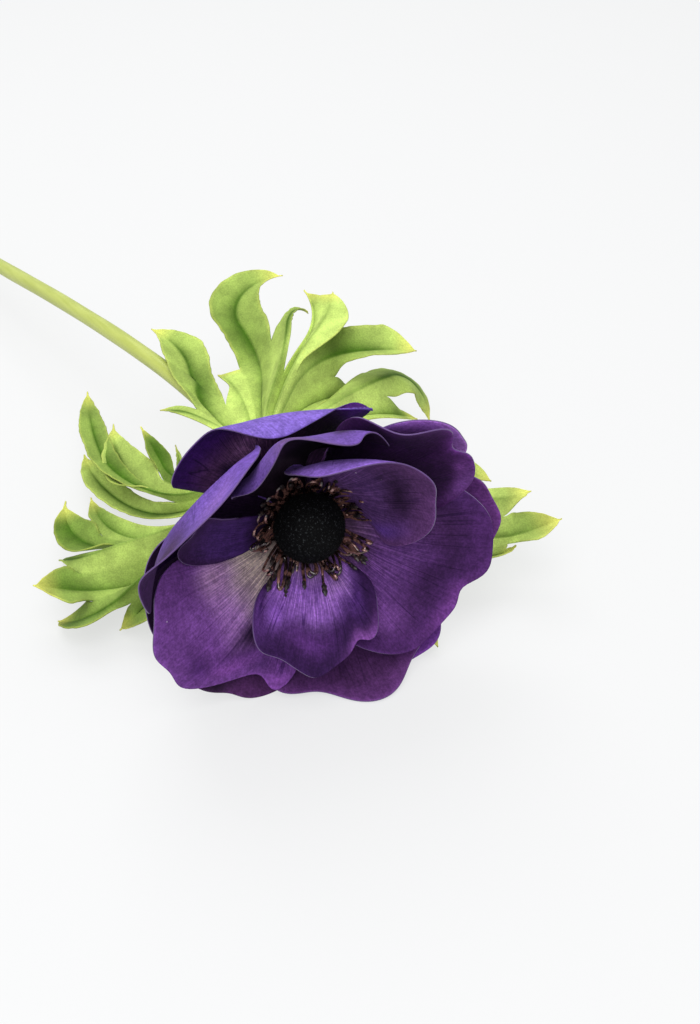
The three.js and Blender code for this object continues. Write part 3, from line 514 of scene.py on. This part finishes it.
for number, (name, petal) in enumerate(PETALS.items()):
    grid, u, v, b = petal_surface(**petal)
    points, faces = skin(bloom_to_row(grid))
    # The wall's far side takes the next material, which makes that side the face.
    piece = make_piece(name + "_cloth", points, faces, petal_back, petal_face, petal_edge, slot="petal")
    # Painted shade and painted light: these colours darken or lighten each petal where shade or light falls
    # on it.
    dye_and_shade = DYES_AND_SHADE[name]
    claw, body, rim, back = (np.array(dye_and_shade[part]) for part in ("claw", "body", "rim", "back"))
    v, u, b = v.ravel(), u.ravel(), b.ravel()
    low, high = dye_and_shade.get("claw_ends", CLAW_ENDS)
    face = claw + (body - claw) * ease((v - low) / (high - low))[:, None]
    low, high = dye_and_shade["turns"]
    face = face + (rim - face) * ease((v - low) / (high - low))[:, None]
    under = back * (0.55 + 0.45 * ease(v / 0.7))[:, None]
    # Painted shade and painted light: soft patches of shadow and of lit cloth laid over the face and the
    # back.
    for shade_and_light_washes, cloth in (("shade_and_light_washes", face), ("back_shade_and_light_washes", under)):
        for at_u, at_v, wide, tall, colour in dye_and_shade.get(shade_and_light_washes, []):
            share = np.exp(-((u - at_u) / wide) ** 2 - ((v - at_v) / tall) ** 2)[:, None]
            cloth += (np.array(colour) - cloth) * share
    face = face * (1 + 0.3 * ease((v - 0.975) / 0.025))[:, None]
    paint(piece, "dye_and_shade", face)
    paint(piece, "back_dye_and_shade", under)
    field = piece.data.attributes.new("grain", "FLOAT_VECTOR", "POINT")
    vector = np.stack([b * 26, v * 1.3, 7.0 * number + 0 * v], 1)
    field.data.foreach_set("vector", vector.astype(np.float32).ravel())
    fine = dye_and_shade["veins"] * (1 - 0.75 * ease((v - 0.35) / 0.5))
    coarse = dye_and_shade["veins"] * (1 - ease((v - 0.8) / 0.18))
    paint(piece, "veined", np.stack([fine, coarse, 0 * v], 1))
    wall = piece.modifiers.new("cloth", "SOLIDIFY")
    wall.thickness, wall.offset = PETAL_THICKNESS, 0.0
    wall.material_offset, wall.material_offset_rim = 1, 2
    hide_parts(name)


# ---------------------------------------------------------------- dome
# The dome is a plastic knob flocked with short black fibres, with painted glints: fine
# grey specks stand in for light caught on the fibre tips.
# It sits in the ring of stamens.

DOME_RADIUS, SEAT_RADIUS = 9.3, 7.2
WIDEST_HEIGHT, DOME_BELOW, DOME_ABOVE = 5.0, 2.6, 8.7
BELOW_SHARE = 0.3                                    # of the profile is below the widest ring


def dome_profile(t):
    """Radius and height of the dome for t from 0 at its seat to 1 at its top: a
    quarter ellipse drawn in below the widest ring, and one that closes above it."""
    low = np.pi / 2 * (np.clip(t / BELOW_SHARE, 0, 1) - 1)
    high = np.pi / 2 * np.clip((t - BELOW_SHARE) / (1 - BELOW_SHARE), 0, 1)
    below = t < BELOW_SHARE
    radius = np.where(below, SEAT_RADIUS + (DOME_RADIUS - SEAT_RADIUS) * np.cos(low),
                      DOME_RADIUS * np.cos(high))
    height = WIDEST_HEIGHT + np.where(below, DOME_BELOW * np.sin(low), DOME_ABOVE * np.sin(high))
    return radius, height


radius, height = dome_profile(np.linspace(0, 0.985, 40))
knob_grid = round_axis(full_turn(64), radius[:, None], height[:, None])
knob = skin(bloom_to_row(knob_grid), wrap=True, caps=True)

draw = np.random.default_rng(11)
FIBRES = 24000
turn = draw.uniform(0, 2 * np.pi, FIBRES)
rise = np.arccos(1 - 1.28 * draw.uniform(0, 1, FIBRES))          # even over the dome's area
t = 1 - (1 - BELOW_SHARE) * rise / (np.pi / 2)
radius, height = dome_profile(t)
root = round_axis(turn, radius, height)
outward = unit((root - [0, 0, WIDEST_HEIGHT]) * [1, 1, 1.1] + draw.normal(0, 2.2, (FIBRES, 3)))
aside = unit(np.cross(outward, draw.normal(0, 1, (FIBRES, 3))))
third = np.cross(outward, aside)
reach = draw.uniform(0.3, 0.85, FIBRES)[:, None]
SUNK, FIBRE_RADIUS = 0.15, 0.035
corner = [root - SUNK * outward + FIBRE_RADIUS * (np.cos(c) * aside + np.sin(c) * third)
          for c in (0, 2 * np.pi / 3, 4 * np.pi / 3)]
fibres = np.stack([*corner, root + reach * outward], 1)           # three at the root, one tip
first = np.arange(FIBRES)[:, None] * 4
fibre_faces = np.concatenate([first + f for f in ([0, 1, 3], [1, 2, 3], [2, 0, 3], [0, 2, 1])]).tolist()
pile = bloom_to_row(fibres.reshape(-1, 3)), fibre_faces

flock, tree, shader = new_finish(
    "black_flock", Roughness=0.7, Specular_IOR_Level=0.10)
place = tree.nodes.new("ShaderNodeTexCoord").outputs["Object"]
# Painted highlights: grey specks on the black stand in for glints on the fibre tips.
glint_specks = noise_node(tree, place, 1900, detail=1)
black = mix_node(tree, step_node(tree, glint_specks, 0.60, 0.72),
                 (0.003, 0.003, 0.0035, 1), (0.055, 0.06, 0.065, 1))
tree.links.new(black, shader.inputs["Base Color"])

dome = make_piece("flocked_dome", *join(knob, pile), flock, slot="dome")
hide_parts("dome")


# ---------------------------------------------------------------- stamens
# The stamens are thin brown plastic threads, dipped so that they shine, which bow out
# from a ring under the dome. Some end in a dark flattened anther, some curl into a
# hook, and the rest fold back in a loop.

STAMEN_COUNT = 68
draw = np.random.default_rng(23)
turn = (np.arange(STAMEN_COUNT) + draw.uniform(-0.45, 0.45, STAMEN_COUNT)) * 2 * np.pi / STAMEN_COUNT
BEARING = 0                                      # an anther; kind 1 is hooked, kind 2 looped
kind = draw.choice(3, STAMEN_COUNT, p=(0.30, 0.28, 0.42))
hanging = np.cos(turn - np.radians(258)) > 0.72                   # the lowest ones hang out furthest
kind = np.where(hanging & (draw.uniform(0, 1, STAMEN_COUNT) < 0.6), BEARING, kind)
long = draw.uniform(0, 1, STAMEN_COUNT) ** 1.1
long = long + np.where(hanging & (kind == BEARING), draw.uniform(0.1, 1.1, STAMEN_COUNT), 0)
bow = draw.normal(0, 0.17, STAMEN_COUNT)
root = round_axis(turn, 7.9 + 0 * turn, 1.75)
knee = round_axis(turn + 0.5 * bow, 10.6 + 1.4 * long, 2.4 + 0.8 * long)
tip = round_axis(turn + bow, 13.0 + 4.1 * long + draw.normal(0, 0.3, STAMEN_COUNT),
                 6.4 + 3.4 * np.minimum(long, 1) + draw.normal(0, 0.6, STAMEN_COUNT))


def bowed(share):
    """Points at that share of each thread's bow, (1-s)^2 root + 2s(1-s) knee + s^2 tip."""
    share = np.asarray(share)[..., None]
    return ((1 - share) ** 2 * root[:, None] + 2 * share * (1 - share) * knee[:, None]
            + share**2 * tip[:, None])


THREAD_STEPS = 26
HOOK_AT, HOOK_RADIUS = 0.62, 1.0          # share of the thread before the hook, and its radius
LOOP_AT, LOOP_ROOT = 0.2, 0.34            # share of the thread, and of the bow, before the loop
s = np.linspace(0, 1, THREAD_STEPS)
ahead = unit(tip - knee)
level = unit(np.stack([-np.sin(turn), np.cos(turn), 0 * turn], -1))
inward = unit(np.cross(level, ahead))
inward *= -np.sign((inward * root).sum(-1, keepdims=True))
straight = bowed(s)
angle = (3.9 + draw.uniform(-0.9, 0.5, STAMEN_COUNT))[:, None] * np.clip((s - HOOK_AT) / (1 - HOOK_AT), 0, 1)
hooked = bowed(np.minimum(1, s / HOOK_AT)) + HOOK_RADIUS * (
    np.sin(angle)[..., None] * ahead[:, None] + (1 - np.cos(angle))[..., None] * inward[:, None])
start = bowed([LOOP_ROOT])[:, 0]
middle, half = (start + tip) / 2, np.linalg.norm(tip - start, axis=-1)[:, None, None] / 2
angle = np.pi * (1 - 2 * np.clip((s - LOOP_AT) / (1 - LOOP_AT), 0, 1))
wide = draw.uniform(1.0, 1.9, STAMEN_COUNT)[:, None, None]
looped = (middle[:, None] + half * np.cos(angle)[:, None] * unit(tip - start)[:, None]
          + wide * np.sin(angle)[:, None] * level[:, None])
looped = np.where((s < LOOP_AT)[:, None], bowed(LOOP_ROOT * s / LOOP_AT), looped)
thread_path = np.choose(kind[:, None, None], [straight, hooked, looped])
wriggle = np.sin(s * 9 + draw.uniform(0, 6, STAMEN_COUNT)[:, None]) * 0.18 * s
thread_path = thread_path + wriggle[..., None] * level[:, None]
thread_radius = (0.47 - 0.08 * s) * draw.uniform(0.8, 1.2, STAMEN_COUNT)[:, None]
thread_tubes = tube(thread_path, thread_radius, 8, flat=0.55)
threads = skin(bloom_to_row(thread_tubes)[:, :, ::-1], wrap=True, caps=True)

bearing = kind == BEARING
ahead = ahead[bearing]
along = np.linspace(-1.0, 1.0, 11)[:, None]
size = draw.uniform(0.8, 1.2, bearing.sum())[:, None]
ANTHER_HALF, ANTHER_RADIUS, TUCKED = 2.0, 0.70, 0.4
anther_path = tip[bearing][:, None] + (along * ANTHER_HALF * size[..., None] - TUCKED) * ahead[:, None]
pointed = np.sqrt(np.clip(1.02 - along[:, 0] ** 2, 0, 1))
anther_radius = ANTHER_RADIUS * size * pointed * (1 - 0.2 * np.cos(along[:, 0] * 9))
anther_tubes = tube(anther_path, anther_radius, 10, flat=0.6)
anthers = skin(bloom_to_row(anther_tubes)[:, :, ::-1], wrap=True, caps=True)

ring_radius = np.array([5.0, 5.2, 8.1, 8.3, 8.1, 5.2])
ring_height = np.array([1.78, 2.0, 2.0, 1.78, 1.55, 1.55])
ring_grid = round_axis(full_turn(60)[:, None], ring_radius, ring_height)
ring = skin(bloom_to_row(np.concatenate([ring_grid, ring_grid[:1]])), wrap=True)

thread_finish, tree, shader = new_finish(
    "brown_thread", Metallic=0.5, Roughness=0.2, Specular_IOR_Level=0.7, Coat_Weight=1.0, Coat_Roughness=0.1)
place = tree.nodes.new("ShaderNodeTexCoord").outputs["Object"]
patches = noise_node(tree, place, 420, detail=3)
brown = mix_node(tree, step_node(tree, patches, 0.43, 0.60),
                 (0.016, 0.007, 0.007, 1), (0.27, 0.125, 0.105, 1))
tree.links.new(brown, shader.inputs["Base Color"])
bump_node(tree, shader, patches, 0.0003)
anther_finish, tree, shader = new_finish(
    "dark_anther", Roughness=0.42, Specular_IOR_Level=0.4, Coat_Weight=0.15, Coat_Roughness=0.12)
place = tree.nodes.new("ShaderNodeTexCoord").outputs["Object"]
grains = noise_node(tree, place, 1400, detail=2)
dark = mix_node(tree, step_node(tree, grains, 0.4, 0.7),
                (0.004, 0.003, 0.004, 1), (0.04, 0.022, 0.02, 1))
tree.links.new(dark, shader.inputs["Base Color"])
bump_node(tree, shader, grains, 0.0002)

stamens = make_piece("stamen_ring", *join(threads, anthers, ring), thread_finish, anther_finish,
                     slot="stamens")
which = np.repeat([0, 1, 0], [len(faces) for _, faces in (threads, anthers, ring)]).astype(np.int32)
stamens.data.polygons.foreach_set("material_index", which)
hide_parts("stamens")


# ---------------------------------------------------------------- leaves
# Each leaf is one piece of printed cloth, cut into lobes and creased along every mid
# rib. The cloth is yellow green, with yellow tips and cut edges that fray a little.
# Shade is painted into it, darker in the creases, on one side of each rib, in soft
# patches and over some whole lobes, and light is painted on the palm.

RIB_STEPS = 400


def lobe_rib(base, lobe):
    """The mid rib of a lobe: a line stepped out from the base, its pitch and yaw
    turning evenly over each third, with the directions to its left and above it."""
    share = np.linspace(0, 1, RIB_STEPS + 1)
    pitch, yaw = np.radians(lobe["rise"]) + 0 * share, np.radians(lobe["azimuth"]) + 0 * share
    for k in range(3):
        pitch = pitch + np.radians(lobe["pitch"][k]) * np.clip(share * 3 - k, 0, 1)
        yaw = yaw + np.radians(lobe["yaw"][k]) * np.clip(share * 3 - k, 0, 1)
    ahead = np.stack([np.cos(pitch) * np.cos(yaw), np.cos(pitch) * np.sin(yaw), np.sin(pitch)], -1)
    steps = (ahead[1:] + ahead[:-1]) / 2 * lobe["length"] / RIB_STEPS
    line = np.concatenate([[base], base + np.cumsum(steps, 0)])
    left = np.stack([-np.sin(yaw), np.cos(yaw), 0 * yaw], -1)
    return line, left, np.cross(ahead, left)


def on_rib(rib, lobe, radius):
    """The rib's line, left and above at those distances from the base."""
    at = np.clip(radius / lobe["length"], 0, 1)
    grid = np.linspace(0, 1, RIB_STEPS + 1)
    return [np.stack([np.interp(at, grid, part[:, c]) for c in range(3)], -1) for part in rib]


def lobe_width(lobe, radius):
    """Half width: it grows from the root to its widest place, then closes to a tip
    that may end in a thin tail."""
    x = radius / lobe["length"]
    grow = lobe["root"] + (lobe["half"] - lobe["root"]) * ease(x / lobe["widest"])
    q = np.clip((x - lobe["widest"]) / (1 - lobe["widest"]), 0, 1)
    close = ((lobe["half"] - lobe["tail"]) * (1 - np.minimum(1, q / 0.93) ** lobe["full"])
             + lobe["tail"] * (1 - q**3))
    return np.where(x < lobe["widest"], grow, close) + 0.12


LEAVES = {
    "leaf_back": dict(base=(-36, 11.6, 34.6), sinuses=(27, 25, 39, 45, 27, 62, 27, 39, 22, 46), lobes=(
        dict(azimuth=-161, rise=24, length=40, pitch=(-17, -10, -25), yaw=(-3, 2, 4),
             half=2.5, widest=0.64, full=1.9, root=3, tail=0.5, cup=0.2),
        dict(azimuth=198, rise=11, length=71, pitch=(-11, 6, 4), yaw=(-25, -19, 49),
             half=6.6, widest=0.78, full=1.2, root=1.9, tail=1, cup=0.45),
        dict(azimuth=168, rise=23, length=42, pitch=(-12, -13, -19), yaw=(-12, 10, 11),
             half=0.9, widest=0.82, full=1.6, root=3.8, tail=0.5, cup=0.2),
        dict(azimuth=147, rise=17, length=86, pitch=(-15, 16, 0), yaw=(-4, 32, -146),
             half=8, widest=0.7, full=2.7, root=1.3, tail=1.6, cup=0.4),
        dict(azimuth=146, rise=37, length=69, pitch=(-11, -19, -56), yaw=(-22, 17, -34),
             half=0.9, widest=0.86, full=2.7, root=3.3, tail=0.7, cup=0.3),
        dict(azimuth=133, rise=26, length=67, pitch=(-8, -5, -4), yaw=(-9, -5, 55),
             half=0.9, widest=0.52, full=1.5, root=3.6, tail=0.5, cup=0.3),
        dict(azimuth=129, rise=38, length=66, pitch=(-8, -24, -5), yaw=(-10, -4, 25),
             half=8.2, widest=0.76, full=1.2, root=4, tail=0.8, cup=0.3),
        dict(azimuth=119, rise=33, length=69, pitch=(-14, -25, -1), yaw=(0, -43, -23),
             half=8.2, widest=0.86, full=1.4, root=9, tail=0.7, cup=0.45),
        dict(azimuth=116, rise=21, length=55, pitch=(-23, -17, 8), yaw=(-6, -14, 6),
             half=3.8, widest=0.74, full=2.1, root=3, tail=0.6, cup=0.3),
        dict(azimuth=92, rise=20, length=83, pitch=(-13, -31, -62), yaw=(0, 19, -103),
             half=8.2, widest=0.74, full=1.2, root=3.8, tail=1.2, cup=-0.2),
        dict(azimuth=81, rise=14, length=58, pitch=(-14, -19, -14), yaw=(6, 3, -14),
             half=3.6, widest=0.78, full=2, root=3, tail=0.5, cup=0.2),
    )),
    "leaf_left_high": dict(base=(-40.6, 9.4, 34.1), sinuses=(29, 30, 31, 29), lobes=(
        dict(azimuth=-81, rise=-56, length=80, pitch=(28, 29, 1), yaw=(-58, -31, -31),
             half=4.6, widest=0.8, full=1.3, root=3, tail=0.8, cup=0.3),
        dict(azimuth=-89, rise=-45, length=93, pitch=(40, 5, 7), yaw=(-61, -46, -14),
             half=4, widest=0.74, full=2, root=2.4, tail=0.8, cup=0.4),
        dict(azimuth=-97, rise=-50, length=69, pitch=(28, 27, 17), yaw=(-41, -43, -32),
             half=8.2, widest=0.58, full=2, root=2.2, tail=1, cup=0.3),
        dict(azimuth=-101, rise=-34, length=50, pitch=(11, 28, 17), yaw=(-36, -56, 8),
             half=3.8, widest=0.66, full=1.2, root=2.3, tail=0.6, cup=0.3),
        dict(azimuth=-113, rise=-39, length=52, pitch=(5, 21, 12), yaw=(-30, -74, 18),
             half=1.2, widest=0.6, full=1.5, root=1.9, tail=0.4, cup=0.2),
    )),
    "leaf_left_low": dict(base=(-33.4, 9, 31.4), sinuses=(57, 65, 64, 48, 55), lobes=(
        dict(azimuth=-41, rise=-16, length=65, pitch=(0, -16, -13), yaw=(-43, -14, -15),
             half=6.8, widest=0.8, full=1.6, root=2.5, tail=0.6, cup=0.2),
        dict(azimuth=-57, rise=-12, length=83, pitch=(4, -27, 4), yaw=(-35, -6, -81),
             half=6.7, widest=0.72, full=2.3, root=3.7, tail=1, cup=0.3),
        dict(azimuth=-67, rise=-32, length=80, pitch=(4, 25, 36), yaw=(-24, -27, 10),
             half=8.1, widest=0.86, full=1.7, root=2.7, tail=0.6, cup=0.25),
        dict(azimuth=-70, rise=-12, length=85, pitch=(5, -24, -13), yaw=(-38, -30, -81),
             half=1, widest=0.82, full=2.4, root=2.2, tail=1.2, cup=0.2),
        dict(azimuth=-74, rise=-33, length=79, pitch=(16, 5, 34), yaw=(-40, -26, -78),
             half=8.2, widest=0.52, full=4, root=3, tail=2.2, cup=0.3),
        dict(azimuth=-83, rise=-35, length=70, pitch=(10, 19, 16), yaw=(-27, -44, -51),
             half=4.6, widest=0.72, full=1.7, root=2.2, tail=0.6, cup=0.35),
    )),
    "leaf_right": dict(base=(-36, 13.0, 31.8), sinuses=(45, 71, 77, 22), lobes=(
        dict(azimuth=64, rise=15, length=68, pitch=(-20, -6, -12), yaw=(-13, 5, -21),
             half=4, widest=0.86, full=1.9, root=2.5, tail=0.8, cup=0.2),
        dict(azimuth=49, rise=10, length=80, pitch=(-17, -2, 6), yaw=(-17, 12, 38),
             half=3.1, widest=0.86, full=2.8, root=2.5, tail=0.6, cup=0.3),
        dict(azimuth=37, rise=-7, length=91, pitch=(-11, 12, 29), yaw=(-12, 22, 20),
             half=6.5, widest=0.86, full=2.4, root=3, tail=0.6, cup=0.3),
        dict(azimuth=29, rise=-7, length=83, pitch=(-9, -1, 11), yaw=(-6, 9, 71),
             half=0.9, widest=0.86, full=2, root=3, tail=1, cup=0.2),
        dict(azimuth=6, rise=-15, length=75, pitch=(-9, 2, -9), yaw=(-8, 29, -36),
             half=2.7, widest=0.84, full=2, root=2.5, tail=0.8, cup=0.2),
    )),
}


leaf_cloth, tree, shader = new_finish(
    "leaf_cloth", Roughness=0.8, Specular_IOR_Level=0.1, Sheen_Weight=0.02, Sheen_Roughness=0.5)
place = tree.nodes.new("ShaderNodeTexCoord").outputs["Object"]
mottle = noise_node(tree, place, 160, detail=4, roughness=0.6)
colour = mix_node(tree, 1.0, attribute_node(tree, "tint_and_shade")["Color"],
                  step_node(tree, mottle, 0.3, 0.75, 0.78, 1.16), blend="MULTIPLY")
weave = noise_node(tree, place, 2300, detail=2, roughness=0.6)
colour = mix_node(tree, 1.0, colour, step_node(tree, weave, 0.3, 0.7, 0.84, 1.12),
                  blend="MULTIPLY")
tree.links.new(colour, shader.inputs["Base Color"])
bump_node(tree, shader, weave, 0.00012)

# The second green is the colour of painted shade on the leaves.
GREEN, SHADE_GREEN, YELLOW = np.array([[0.43, 0.56, 0.13], [0.04, 0.11, 0.003], [0.68, 0.66, 0.14]])
# How much painted shade, in the shade green, lies over each whole lobe, lobe by lobe.
PAINTED_LOBE_SHADE = {
    "leaf_back": (0.0, 0.15, 0.0, 0.3, 0.15, 0.0, 0.0, 0.1, 0.0, 0.1, 0.0),
    "leaf_left_high": (0.0, 0.45, 0.05, 0.7, 0.1),
    "leaf_left_low": (0.5, 0.55, 0.4, 0.2, 0.6, 0.4),
    "leaf_right": (0.0, 0.05, 0.1, 0.2, 0.1),
}
LEAF_THICKNESS, SEAM_GAP = 0.0004, 0.00002       # metres
CREASE_DEPTH, CREASE_WIDTH = 0.28, 0.55
CLEAR = 3.15                 # a lobe that crosses the stem rests on it, this far from its middle
stem_ahead = unit(np.gradient(stem_path, axis=0))


def lobe_edge(ribs, lobes, i, side, sinus, rows, own):
    """The edge of lobe i on that side, 1 for left, and how free it is: up to the sinus
    it runs midway to the next rib, and past it it eases out to the lobe's own edge."""
    k = i if side < 0 else i - 1
    if not 0 <= k < len(sinus):
        return own, np.ones(len(rows))
    s, lobe = sinus[k], lobes[i]
    other = k if side > 0 else k + 1
    line, next_line = on_rib(ribs[i], lobe, rows)[0], on_rib(ribs[other], lobes[other], rows)[0]
    at_s = np.array([s])
    here, there = on_rib(ribs[i], lobe, at_s), on_rib(ribs[other], lobes[other], at_s)
    gap = (here[0] + there[0]) / 2 - (here[0] + side * here[1] * lobe_width(lobe, at_s)[:, None])
    free = own + gap * (1 - ease((rows - s) / (0.45 * (lobe["length"] - s))))[:, None]
    return np.where((rows <= s)[:, None], (line + next_line) / 2, free), ease((rows - s) / 5)


def clear_of_stem(grid, rows):
    """Points nearer than CLEAR to the stem's line move straight away from it."""
    nearest = np.linalg.norm(grid[:, :, None] - stem_path, axis=-1).argmin(-1)
    off, along = grid - stem_path[nearest], stem_ahead[nearest]
    off = off - (off * along).sum(-1, keepdims=True) * along
    apart = np.linalg.norm(off, axis=-1, keepdims=True)
    return grid + off * np.clip((CLEAR - apart) / apart, 0, None) * ease((rows - 6) / 8)[:, None, None]


def lobe_tone_and_shade(rows, length, joined, painted_lobe_shade, from_rib, t, free):
    """The painted colour: green with painted shade along the rib's crease, on one side of
    it, in one soft patch and over the whole lobe as much as is listed for it, with
    painted light in the palm where lobes are joined, and yellow at the tip and edges."""
    across, share = np.abs(t)[None, :], rows[:, None] / length
    way = ease((share - 0.1) / 0.15) * ease((0.97 - share) / 0.2)
    reach = np.minimum(1, 0.15 + from_rib["edge"] / 6)
    # Painted shade: a dark line along the crease, a soft band on one side of the rib, and a soft patch.
    crease_shade = 0.9 * np.exp(-(from_rib["point"] / (0.6 * reach)) ** 2) * way
    shaded = t[None, :] * draw.choice([-1, 1]) > 0
    side_shade = (0.2 + 0.5 * shaded) * np.exp(-(from_rib["point"] / (2.6 * reach)) ** 2) * way
    middle, spread = joined / length + draw.uniform(0.08, 0.2), draw.uniform(0.1, 0.16)
    shade_patch = 0.85 * np.exp(-((share - middle) / spread) ** 2) * (0.3 + 0.7 * shaded)
    light = (1 - crease_shade) * (1 - side_shade) * (1 - shade_patch * (1 - 0.5 * across)) * (1 - painted_lobe_shade)
    # Painted light: the palm, where lobes are joined, is lighter.
    lit_palm = (1 - 1.5 * painted_lobe_shade) * ease((joined + 4 - rows) / 16)[:, None, None]
    tone = (GREEN + (SHADE_GREEN - GREEN) * (1 - light)[..., None] * (1 - 0.5 * lit_palm)) * (1 + 0.12 * lit_palm)
    yellow = ease((share - 0.88) / 0.12) * 0.75 + 0.2 * ease((across - 0.85) / 0.15) * (free > 0.5)
    return tone + (YELLOW - tone) * yellow[..., None]


draw = np.random.default_rng(5)
t = np.linspace(-1, 1, 21)
t = np.sign(t) * np.abs(t) ** 1.3               # columns crowd towards the rib
across = np.abs(t)[None, :]
for name, leaf in LEAVES.items():
    base = np.array(leaf["base"]) + [HEART[0], HEART[1], 0]
    lobes = leaf["lobes"]
    sinus = [max(1, round(s / 4)) * 4.0 for s in leaf["sinuses"]]
    ribs = [lobe_rib(base, lobe) for lobe in lobes]
    parts, tints = [], []
    for i, lobe in enumerate(lobes):
        length = lobe["length"]
        joined = max(sinus[i - 1] if i else 0, sinus[i] if i < len(sinus) else 0)
        rows = np.concatenate([np.arange(0, joined), np.linspace(joined, length, 12 + int(length - joined))])
        line, left, above = on_rib(ribs[i], lobe, rows)
        width = lobe_width(lobe, rows)
        edges, freedom = {}, {}
        for side in (-1, 1):
            fray = np.convolve(draw.normal(0, 1, len(rows)), [0.25, 0.5, 0.25], "same") * 0.16
            own = line + side * left * (width + fray * ease((rows - joined) / 6))[:, None]
            edges[side], freedom[side] = lobe_edge(ribs, lobes, i, side, sinus, rows, own)
        edge = np.where(t[None, :, None] > 0, edges[1][:, None], edges[-1][:, None])
        free = np.where(t[None, :] > 0, freedom[1][:, None], freedom[-1][:, None])
        grid = line[:, None] + (edge - line[:, None]) * across[..., None]
        lift = width[:, None] * lobe["cup"] * ease(rows / (0.5 * length))[:, None] * free * across**1.6
        half = np.linalg.norm(edge - line[:, None], axis=-1)
        crease = (np.exp(-(half * across / CREASE_WIDTH) ** 2) * ease(rows / 8)[:, None]
                  * ease((1 - rows / length) * 6)[:, None])
        grid = clear_of_stem(grid + above[:, None] * (lift - CREASE_DEPTH * crease)[..., None], rows)
        parts.append(skin(grid[:, ::-1]))
        from_rib = {"edge": half, "point": half * across}
        tone = lobe_tone_and_shade(rows, length, joined, PAINTED_LOBE_SHADE[name][i], from_rib, t, free)
        tints.append(tone[:, ::-1].reshape(-1, 3))
    piece = make_piece(name + "_cloth", *join(*parts), leaf_cloth, slot="leaf")
    paint(piece, "tint_and_shade", np.concatenate(tints))
    weld = piece.modifiers.new("seams", "WELD")
    weld.merge_threshold = SEAM_GAP
    wall = piece.modifiers.new("cloth", "SOLIDIFY")
    wall.thickness, wall.offset = LEAF_THICKNESS, 0.0
    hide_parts(name)


# ---------------------------------------------------------------- floor, light and camera
# The flower lies on a wide white board, which glows softly, under a soft white sky.
# A broad weak lamp hangs behind it, and a broad stronger one in front.

FAR = 30                                   # metres from the middle of the board to each side
board = bpy.data.meshes.new("board")
board.from_pydata([(-FAR, -FAR, 0), (FAR, -FAR, 0), (FAR, FAR, 0), (-FAR, FAR, 0)], [], [(0, 1, 2, 3)])
floor = bpy.data.objects.new("board", board)
bpy.context.scene.collection.objects.link(floor)
white, tree, shader = new_finish(
    "white_board", Roughness=0.9, Specular_IOR_Level=0.05, Emission_Strength=0.645)
shader.inputs["Base Color"].default_value = (0.2, 0.2, 0.2, 1)
shader.inputs["Emission Color"].default_value = (0.995, 0.998, 1.0, 1)
board.materials.append(white)

sky = bpy.data.worlds.new("soft_sky")
bpy.context.scene.world = sky
sky.use_nodes = True
sky.node_tree.nodes["Background"].inputs["Color"].default_value = (0.96, 0.98, 1, 1)
sky.node_tree.nodes["Background"].inputs["Strength"].default_value = 0.72
LAMPS_AIM = Vector((0.12, 0, 0.03))
for name, watts, size, place in (("lamp_back", 3.2, 0.6, (-0.25, 0.12, 0.75)),
                                 ("lamp_front", 7.0, 0.7, (0.45, -0.35, 0.85))):
    light = bpy.data.lights.new(name, "AREA")
    light.energy, light.size = watts, size
    lamp = bpy.data.objects.new(name, light)
    lamp.location = place
    lamp.rotation_euler = (LAMPS_AIM - lamp.location).to_track_quat("-Z", "Y").to_euler()
    bpy.context.scene.collection.objects.link(lamp)

CAMERA_FROM_HEART = np.array([238.2, -170.6, 248.5])
CAMERA_AZIMUTH, CAMERA_HEIGHT = np.radians(52), np.radians(40)
camera_data = bpy.data.cameras.new("camera")
camera_data.lens, camera_data.sensor_width = 50, 36
camera = bpy.data.objects.new("camera", camera_data)
bpy.context.scene.collection.objects.link(camera)
right = Vector((np.cos(CAMERA_AZIMUTH), np.sin(CAMERA_AZIMUTH), 0))
away = Vector((-np.sin(CAMERA_AZIMUTH) * np.cos(CAMERA_HEIGHT),
               np.cos(CAMERA_AZIMUTH) * np.cos(CAMERA_HEIGHT), -np.sin(CAMERA_HEIGHT)))
up = right.cross(away)
eye = Vector((HEART + CAMERA_FROM_HEART) / 1000)
camera.matrix_world = Matrix(((right.x, up.x, -away.x, eye.x), (right.y, up.y, -away.y, eye.y),
                              (right.z, up.z, -away.z, eye.z), (0, 0, 0, 1)))
bpy.context.scene.camera = camera
bpy.context.scene.view_settings.view_transform = "Standard"
